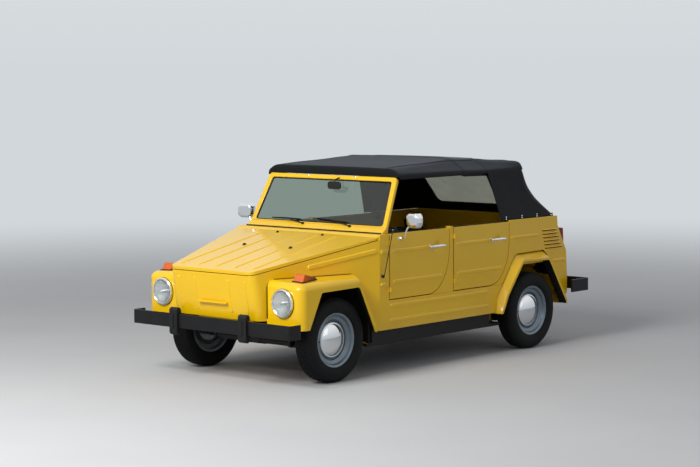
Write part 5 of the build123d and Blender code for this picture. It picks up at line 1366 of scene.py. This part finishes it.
# ---- seats ----------------------------------------------------------------------------
# Foam pads in black grained leatherette with sewn channels and a piped edge, on steel base
# boxes: two separate front seats with raked backs and a bench across the rear.
CHANNEL_GROOVE, CHANNEL_WIDTH, SEAM_WIDTH = 0.0065, 0.008, 0.009
SEAM_BORDER = 0.055
SEAT_ACROSS = 0.370
SEAT_FLOOR = 0.2505
TUBE_BENDS = ((0.44, 0.425), (0.10, 0.418), (0.015, 0.44), (-0.02, 0.62), (-0.09, 0.95))


def baked(piece):
    """The mesh that a piece's modifiers make."""
    return bpy.data.meshes.new_from_object(piece.evaluated_get(bpy.context.evaluated_depsgraph_get()))


def stuffed(name, size, cap):
    """A block of foam blown up inside its cover by a cloth simulation, about its own middle."""
    shape = bmesh.new()
    bmesh.ops.create_cube(shape, size=1.0)
    for vertex in shape.verts:
        vertex.co = Vector([c * (s - 0.016) for c, s in zip(vertex.co, size)])
    piece = new_piece(name, [], [])
    shape.to_mesh(piece.data)
    shape.free()
    corners_in = piece.modifiers.new("foam_corners", "BEVEL")
    corners_in.width = min(size) * 0.30
    corners_in.segments = 5
    cover = piece.modifiers.new("cover_cut", "REMESH")
    cover.mode = "VOXEL"
    cover.voxel_size = 0.0125
    mesh = baked(piece)
    bpy.data.objects.remove(piece)
    piece = bpy.data.objects.new(name, mesh)
    bpy.context.scene.collection.objects.link(piece)
    start = [vertex.co.copy() for vertex in mesh.vertices]
    air = piece.modifiers.new("stuffing", "CLOTH")
    air.settings.use_pressure = True
    air.settings.uniform_pressure_force = 4.0
    air.settings.effector_weights.gravity = 0
    air.point_cache.frame_start = 1
    air.point_cache.frame_end = 20
    for frame_number in range(1, 21):
        bpy.context.scene.frame_set(frame_number)
    blown = baked(piece)
    piece.modifiers.remove(air)
    for vertex, before, after in zip(mesh.vertices, start, blown.vertices):
        move = after.co - before
        vertex.co = before + move * min(1.0, cap / max(move.length, 1e-9))
    bpy.context.scene.frame_set(1)
    return piece


def sewn(piece, size, pitch):
    """Subdivide a stuffed pad once and sink its channels and border seam into the top."""
    finer = piece.modifiers.new("finer", "SUBSURF")
    finer.levels = finer.render_levels = 1
    mesh = baked(piece)
    piece.modifiers.remove(finer)
    piece.data = mesh
    length, width, height = size
    reach_x, reach_y = length / 2 - SEAM_BORDER, width / 2 - SEAM_BORDER
    channels = int(2 * reach_y / pitch)
    groove = CHANNEL_GROOVE
    for vertex in mesh.vertices:
        x, y, z = vertex.co
        if z < height * 0.15:
            continue
        depth = 0.0
        if abs(x) < reach_x and abs(y) < reach_y:
            place = (y + reach_y) / (2 * reach_y) * channels
            nearest = (place - round(place)) * 2 * reach_y / channels
            depth = groove * math.exp(-(nearest / CHANNEL_WIDTH) ** 2)
            depth -= groove * 0.5 * math.cos(math.pi * (place - round(place))) ** 2
        seam = min(abs(abs(x) - reach_x) if abs(y) <= reach_y + 0.01 else 1.0,
                   abs(abs(y) - reach_y) if abs(x) <= reach_x + 0.01 else 1.0)
        depth = max(depth, groove * math.exp(-(seam / SEAM_WIDTH) ** 2))
        vertex.co.z -= depth
    return piece


def seat_pad(name, size, centre, tilt, cap, pitch):
    """One pad of a seat in its place, its sewn face up (or forwards on a back), with piping."""
    pad = sewn(stuffed(name, size, cap), size, pitch)
    surface = touchable(pad.data)
    turn = Matrix.Translation(centre) @ Matrix.Rotation(math.radians(tilt), 4, "Y")
    loops = []
    for level in (0.30, -0.30):
        ring = round_ring(size[0] / 2, size[1] / 2, 0.05, 0.06, 8)
        dense = []
        for (a, b), (c, d) in zip(ring, ring[1:] + ring[:1]):
            count = max(1, int(math.hypot(c - a, d - b) / 0.02))
            dense += [(a + (c - a) * k / count, b + (d - b) * k / count) for k in range(count)]
        spots = []
        for a, b in dense:
            near, normal, face, reach = surface.find_nearest(Vector((a * 1.06, b * 1.06, size[2] * level)))
            spots.append(turn @ (near + normal * 0.0015))
        loops.append(spots)
    pad.data.transform(turn)
    pad.data.materials.clear()
    pad.data.materials.append(hide)
    for number, spots in enumerate(loops):
        finished(piped(f"{name}_piping_{number}", spots, 0.0042, hide, closed=True), "body")
    finished(pad, "body", sharp=80)
    return pad


# Embossed PVC upholstery: black, half-matt, pebbled grain, dulled in random patches. Pebbles
# are 1.2 mm wide in the real grain and 3 mm here, so that they show.
hide = uneven("black_leatherette", (6.0, 5.0, "#111112", "#232223"), rough=(0.38, 0.66),
              grain=(330.0, None, 0.35, 0.0008), Roughness=0.5, Specular_IOR_Level=0.35)
for side, name in SIDES:
    y = side * SEAT_ACROSS
    seat = seat_pad(f"front_cushion_{name}", (0.50, 0.47, 0.13), (0.250, y, 0.495), -3, 0.016, 0.058)
    seat_pad(f"front_backrest_{name}", (0.56, 0.47, 0.096), (-0.062, y, 0.800), 76, 0.014, 0.058)
    base = rounded_plate(f"front_seat_box_{name}", (0.250, y, SEAT_FLOOR), *LYING,
                         0.190, 0.190, 0.03, 0.180, black_paint)
    finished(base, "body", edge=0.004)
    for rail in (-1, 1):
        across = y + rail * 0.205
        tube = smooth_run([(x, across, z) for x, z in TUBE_BENDS], 8)
        finished(piped(f"front_seat_tube_{name}_{'out' if rail == side else 'in'}", tube, 0.011, black_paint),
                 "body")
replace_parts(seat, "front_seats")
bench = seat_pad("rear_cushion", (0.48, 1.20, 0.12), (-0.500, 0, 0.480), -3, 0.014, 0.060)
seat_pad("rear_backrest", (0.48, 1.20, 0.09), (-0.715, 0, 0.760), 80, 0.012, 0.060)
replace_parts(bench, "rear_seat")
for side, name in SIDES:
    box = rounded_plate(f"rear_seat_box_{name}", (-0.515, side * 0.335, SEAT_FLOOR), *LYING,
                        0.185, 0.245, 0.03, 0.168, black_paint)
    finished(box, "body", edge=0.004)


# ---- steering wheel -------------------------------------------------------------------
# A two-hand wheel of black moulded plastic over a steel core, with three spokes, a padded
# horn push in its middle and shallow grips for the fingers round the back of the rim.
COLUMN_RAKE = math.radians(32)
HUB = Vector((0.372, 0.370, 0.905))
COLUMN = Vector((-math.cos(COLUMN_RAKE), 0, math.sin(COLUMN_RAKE)))
RIM, GRIP = 0.188, 0.0118
FINGER_GRIPS, FINGER_DEPTH = 48, 0.0016
DOWN = towards(Y.cross(COLUMN), (0, 0, -1))
SPOKE_STEPS = 8
SPOKE_START, SPOKE_END = 0.028, 0.184

grip_section = [(RIM + GRIP * math.cos(t), 0.020 + GRIP * math.sin(t))
                for t in (2 * math.pi * step / 16 for step in range(17))]
ring = lathe("wheel_rim_grip", grip_section, HUB, COLUMN, moulding, 144)
for vertex in ring.data.vertices:
    offset = vertex.co - HUB
    along = offset.dot(COLUMN)
    if along < 0.019:
        arm = offset - COLUMN * along
        angle = math.atan2(arm.y, arm.dot(Y.cross(COLUMN)))
        vertex.co += COLUMN * FINGER_DEPTH * (1 + math.cos(angle * FINGER_GRIPS)) / 2
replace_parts(finished(ring, "steering_wheel", sharp=70), "steering_wheel")
finished(lathe("wheel_boss", [(0, 0.034), (0.016, 0.0335), (0.026, 0.031), (0.030, 0.027), (0.0325, 0.020),
                              (0.034, 0.012), (0.034, -0.006), (0.024, -0.010), (0.0, -0.010)],
               HUB, COLUMN, moulding, 48), "steering_wheel", sharp=50)
finished(lathe("horn_ring", [(0.0325, 0.0215), (0.0355, 0.0225), (0.0362, 0.0205), (0.0345, 0.0185)],
               HUB, COLUMN, chrome, 48), "steering_wheel", sharp=50)
for direction, name in ((Y, "left"), (Vector((0, -1, 0)), "right"), (DOWN, "lower")):
    beside = COLUMN.cross(direction)
    points = []
    faces = []
    for step in range(SPOKE_STEPS + 1):
        share = step / SPOKE_STEPS
        reach = SPOKE_START + (SPOKE_END - SPOKE_START) * share
        half = 0.0135 - 0.0045 * math.sin(math.pi * min(share * 1.2, 1)) + 0.004 * share ** 3
        depth = 0.010 + 0.010 * share
        for across, rise in ((-1, 0), (-0.7, 0.0035), (0.7, 0.0035), (1, 0), (0.7, -0.0035), (-0.7, -0.0035)):
            points.append(HUB + direction * reach + beside * half * across + COLUMN * (depth + rise))
    for first in range(0, SPOKE_STEPS * 6, 6):
        for corner in range(6):
            following = (corner + 1) % 6
            faces.append((first + corner, first + following, first + 6 + following, first + 6 + corner))
    spoke = cleaned(new_piece(f"wheel_spoke_{name}", points, faces, moulding), fill=True)
    finished(spoke, "steering_wheel", sharp=40)
pressed_copy("steering_column", black_paint, edge=0.0008)
for side, reach in ((1, 0.135), (-1, 0.120)):
    stalk = smooth_run([HUB - COLUMN * 0.055 + Vector((0, side * 0.020, 0.004)),
                        HUB - COLUMN * 0.050 + Vector((0, side * reach * 0.6, 0.012)),
                        HUB - COLUMN * 0.036 + Vector((0, side * reach, 0.020))], 6)
    finished(piped(f"column_stalk_{'signal' if side > 0 else 'wiper'}", stalk, 0.0052, moulding), "body")


# ---- dashboard ------------------------------------------------------------------------
# A flat steel facia in body enamel: a speedometer ahead of the driver, a row of pull knobs,
# a glovebox lid and a grab bar. Dials carry plain numbers only.
pressed_copy("dashboard", enamel)
# Screen-printed instrument paint: dead matt, very fine tooth.
dial_black, dial_white, needle_orange = (
    uneven(name, (700.0, 2.0, dark, light), Roughness=0.8)
    for name, dark, light in (("dial_black_print", "#0B0B0B", "#141414"),
                              ("dial_white_print", "#D8D6CC", "#E8E6DD"),
                              ("needle_orange_print", "#D0561C", "#DE6A2A")))
facia_spot, facia_normal = touch("dashboard", (0.2, 0.370, 0.965), X)
facia_normal = towards(facia_normal, (-1, 0, 0))
dial_up = towards(facia_normal.cross(Y), Z)
rightward = dial_up.cross(facia_normal)
NUMBER_RING, NUMBER_STEP, DIAL_SWEEP = 0.0325, 20, 260
finished(lathe("speedometer_bezel", [(0.050, 0.0), (0.054, 0.001), (0.0555, 0.006), (0.053, 0.010),
                                     (0.050, 0.0095), (0.0485, 0.004)], facia_spot, facia_normal, chrome, 64),
         "body", sharp=50)
finished(lathe("speedometer_face", [(0, 0.0022), (0.049, 0.0022), (0.049, 0.0)], facia_spot, facia_normal,
               dial_black, 48), "body")


def block(name, lengths, widths, heights):
    """A plain box between two x, two y and two z, for a tree to copy."""
    points = [(a, b, c) for a in lengths for b in widths for c in heights]
    faces = [(0, 1, 3, 2), (4, 6, 7, 5), (0, 4, 5, 1), (2, 3, 7, 6), (1, 5, 7, 3), (0, 2, 6, 4)]
    return pattern(new_piece(name, points, faces))


tick = block("dial_tick", (0.0026, 0.0032), (-0.0005, 0.0005), (0.0395, 0.0460))
tilt_dial = X.rotation_difference(facia_normal).to_matrix()
for vertex in tick.data.vertices:
    vertex.co = tilt_dial @ vertex.co
grown("speedometer_ticks", axle_tree, [facia_spot], "body", "black_plastic", Shape=tick, Count=40,
      Centre=facia_spot, Axis=facia_normal, Finish=dial_white)
for number in range(8):
    angle = math.radians(DIAL_SWEEP * number / 7 - DIAL_SWEEP / 2)
    letters = bpy.data.curves.new(f"dial_number_{number}", "FONT")
    letters.body = str(number * NUMBER_STEP)
    letters.size = 0.0105
    letters.extrude = 0.0003
    letters.align_x = "CENTER"
    letters.align_y = "CENTER"
    numeral = meshed(f"dial_number_{number}", letters, dial_white)
    spot = (facia_spot + facia_normal * 0.0028
            + (dial_up * math.cos(angle) + rightward * math.sin(angle)) * NUMBER_RING)
    numeral.data.transform(Matrix.Translation(spot)
                           @ Matrix((rightward, dial_up, facia_normal)).transposed().to_4x4())
    finished(numeral, "body")
needle = [facia_spot + facia_normal * 0.0050,
          facia_spot + facia_normal * 0.0050 + (dial_up * -0.64 - rightward * 0.77) * 0.040]
finished(piped("speedometer_needle", needle, 0.0009, needle_orange), "body")
KNOBS = ((0.560, 0.975, 0.013), (0.560, 0.925, 0.011), (0.235, 0.985, 0.011), (0.235, 0.935, 0.011),
         (0.160, 0.960, 0.013), (0.060, 0.960, 0.011))          # y, z, radius
for number, (y, z, radius) in enumerate(KNOBS):
    spot, normal = touch("dashboard", (0.2, y, z), X)
    knob = lathe(f"dash_knob_{number}", [(0, 0.022), (radius * 0.8, 0.0215), (radius, 0.019),
                                         (radius * 0.92, 0.010), (0.0045, 0.007), (0.0045, 0.002),
                                         (radius * 0.8, 0.0015), (radius * 0.8, -0.001)],
                 spot, (-1, 0, -0.09), moulding, 28)
    finished(knob, "body", sharp=50)
spot, normal = touch("dashboard", (0.2, -0.42, 0.955), X)
lid = rounded_plate("glovebox_lid", spot + X * 0.001, Y, dial_up, facia_normal, 0.170, 0.055, 0.014, 0.0035,
                    enamel)
finished(lid, "body", edge=0.0012)
finished(lathe("glovebox_knob", [(0, 0.016), (0.009, 0.015), (0.011, 0.011), (0.006, 0.004), (0.006, 0.0)],
               spot + Vector((-0.003, 0, 0.035)), facia_normal, chrome, 24), "body")
half_bar = [(-0.001, 0.15, 0.067), (-0.030, 0.14, 0.068), (-0.036, 0.11, 0.068)]
bar = [spot + Vector(place) for place in half_bar + [(x, -y, z) for x, y, z in half_bar[::-1]]]
finished(piped("grab_bar", smooth_run(bar, 6), 0.0080, moulding), "body")


# ---- cabin floor ----------------------------------------------------------------------
# The pressed floor with its tunnel, under ribbed rubber mats; three hanging pedals, a
# cranked gear lever and a handbrake on the tunnel.
pressed_copy("floor_pan", black_paint, edge=0.002)
MAT_ACROSS, MAT_FOOT, RIB_LINE = 0.360, 0.2503, 0.2548
mat_rib = block("mat_rib", (-0.003, 0.003), (-0.205, 0.205), (0.0, 0.0035))
for end, front, rear in (("front", 0.840, 0.470), ("rear", 0.030, -0.310)):
    for side, name in SIDES:
        mat = rounded_plate(f"{end}_mat_{name}", ((front + rear) / 2, side * MAT_ACROSS, MAT_FOOT), *LYING,
                            (front - rear) / 2, 0.225, 0.03, 0.005, rubber)
        finished(mat, "body", edge=0.0015)
        line = [Vector((x, side * MAT_ACROSS, RIB_LINE)) for x in (front - 0.02, rear + 0.02)]
        grown(f"{end}_mat_ribs_{name}", path_tree, line, "body", "rubber", Shape=mat_rib, Count=17,
              Upward=(0, 0, 1), Finish=rubber)
for y, name, half in ((0.475, "clutch", 0.026), (0.385, "brake", 0.026), (0.255, "throttle", 0.020)):
    tread = rounded_plate(f"{name}_pad", (0.772, y, 0.385), Y, (0.35, 0, 0.937), (-0.937, 0, 0.35), half,
                          0.034, 0.010, 0.009, rubber)
    finished(tread, "body", edge=0.002)
    arm = smooth_run([(0.777, y, 0.388), (0.800, y, 0.430), (0.822, y, 0.560), (0.845, y, 0.640)], 6)
    finished(piped(f"{name}_arm", arm, 0.0065, black_paint), "body")
lever = smooth_run([(0.430, 0.0, 0.398), (0.425, 0.0, 0.450), (0.395, 0.005, 0.560),
                    (0.345, 0.020, 0.660)], 8)
finished(piped("gear_lever", lever, 0.0062, black_paint), "body")
finished(lathe("gear_knob", [(0, 0.044), (0.010, 0.042), (0.017, 0.034), (0.019, 0.024), (0.015, 0.010),
                             (0.009, 0.0)], (0.347, 0.0195, 0.655), (-0.42, 0.12, 0.9), moulding, 32),
         "body")
finished(lathe("gear_gaiter", [(0.048, 0.0), (0.044, 0.006), (0.030, 0.012), (0.032, 0.018), (0.022, 0.026),
                               (0.024, 0.032), (0.012, 0.044), (0.007, 0.052)], (0.430, 0, 0.399), Z,
               rubber, 32), "body")
brake = smooth_run([(x, 0.045, z) for x, z in ((0.18, 0.405), (0.14, 0.450), (-0.02, 0.520),
                                               (-0.10, 0.545))], 8)
finished(piped("handbrake", brake, 0.0105, moulding), "body")


# ---- running gear and engine ----------------------------------------------------------
# Cast and fabricated steel under the floor: trailing arms on twin tubes in front, swing
# tubes, a torsion tube with two spring plates and the engine behind, as cast or in black paint.
# Sand-cast aluminium and iron, oily and grey-brown with road film.
casting = uneven("oily_cast_metal", (8.0, 7.0, "#2A2723", "#6E6E6C"), grain=(260.0, 3.0, 0.4, 0.001),
                 Metallic=0.7, Roughness=0.55)
# Mild-steel exhaust: heat-blued to brown, matt, with darker flakes of rust.
browned_steel = uneven("heat_browned_steel", (30.0, 8.0, "#2E2019", "#6B4A36"),
                       grain=(30.0, 8.0, 0.4, 0.0012), Metallic=0.4, Roughness=0.75)
pressed_copy("front_axle", black_paint, edge=0.0015)
for node in ("rear_axle", "engine", "knuckle_left", "knuckle_right"):
    pressed_copy(node, casting, edge=0.0015)
pressed_copy("exhaust", browned_steel, edge=0.0008)
TORSION_TUBE_X = -0.878
TORSION_TUBE_Z = 0.300
SPRING_PLATE_Y = 0.588
tube = [(TORSION_TUBE_X, y, TORSION_TUBE_Z) for y in (-SPRING_PLATE_Y - 0.015, 0.0, SPRING_PLATE_Y + 0.015)]
finished(piped("torsion_tube", tube, 0.056, black_paint), "body")
for side, name in SIDES:
    middle = ((TORSION_TUBE_X + REAR_AXLE.x) / 2, side * SPRING_PLATE_Y, TORSION_TUBE_Z)
    plate = rounded_plate(f"spring_plate_{name}", middle, X, Z, (0, side, 0),
                          0.175, 0.048, 0.040, 0.010, black_paint)
    finished(plate, "body", edge=0.0010)


# ---- tail -----------------------------------------------------------------------------
# The engine lid under a turned catch, a red lamp on each corner and a blank plate bracket
# with its own lamp. A folded steel wall stands behind the slots, inside the tail.
pressed_copy("engine_lid", enamel)
WALL_HALF_WIDTH = 0.713
WALL_FOLDS = ((-1.470, 1.086), (-1.478, 1.000), (-1.598, 0.734))
corners = [(x, y, z) for y in (-WALL_HALF_WIDTH, WALL_HALF_WIDTH) for x, z in WALL_FOLDS]
wall = new_piece("luggage_wall", corners, [(0, 3, 4, 1), (1, 4, 5, 2)], enamel)
finished(walled(wall, 0.0016), "body")
lamp_front, lamp_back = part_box("tail_lights")
# The red darkens from the lens's rear face forwards: a painted shade.
ruby = ribbed_acrylic("red_acrylic", "#B3121A", "#8E0E14", lamp_back.x, lamp_front.x, direction="Z")
pressed_copy("tail_lights", ruby, edge=0.004)
for side, name in SIDES:
    for z in (0.835, 0.945):
        spot, normal = touch("tail_lights", (-3.0, side * 0.695, z), X)
        screw = lathe(f"tail_screw_{name}_{int(z * 1000)}", [(0, 0.002), (0.003, 0.0018), (0.0042, 0.0005),
                                                             (0.0042, -0.001)], spot, normal, zinc, 16)
        finished(screw, "body")
spot, normal = touch("engine_lid", (-3.0, 0.0, 0.930), X)
finished(lathe("lid_catch", [(0, 0.016), (0.010, 0.0155), (0.013, 0.012), (0.013, 0.004), (0.018, 0.002),
                             (0.018, 0.0)], spot, normal, chrome, 28), "engine_lid")
bar = [spot + normal * 0.014 + Y * across for across in (-0.024, 0.024)]
finished(piped("lid_catch_bar", bar, 0.0052, chrome), "engine_lid")
spot, normal = touch("engine_lid", (-3.0, 0.0, 0.700), X)
slope_up = towards(normal.cross(Y), Z)
bracket = rounded_plate("plate_bracket", spot + normal * 0.004, Y, slope_up, normal, 0.262, 0.058, 0.010,
                        0.003, black_paint)
finished(bracket, "engine_lid", edge=0.0010)
lamp = rounded_plate("plate_lamp", spot + slope_up * 0.076, Y, slope_up, normal, 0.050, 0.014, 0.010, 0.026,
                     moulding)
finished(lamp, "engine_lid", edge=0.004)


# ---- aerial ---------------------------------------------------------------------------
# A telescopic rod in a black sleeve, hinged on a chromed ball on the left of the scuttle.
pressed_copy("aerial", black_paint, edge=0.0)
TIP_PLACE, TIP_RADIUS = (0.667, 0.786, 1.113), 0.0042
ball = [(TIP_RADIUS * math.cos(turn), TIP_RADIUS * math.sin(turn))
        for turn in (math.pi * (0.5 - step / 8) for step in range(1, 8))]
finished(lathe("aerial_tip", [(0, 0.005)] + ball + [(0, -TIP_RADIUS)], TIP_PLACE, Z, chrome, 16),
         "body")
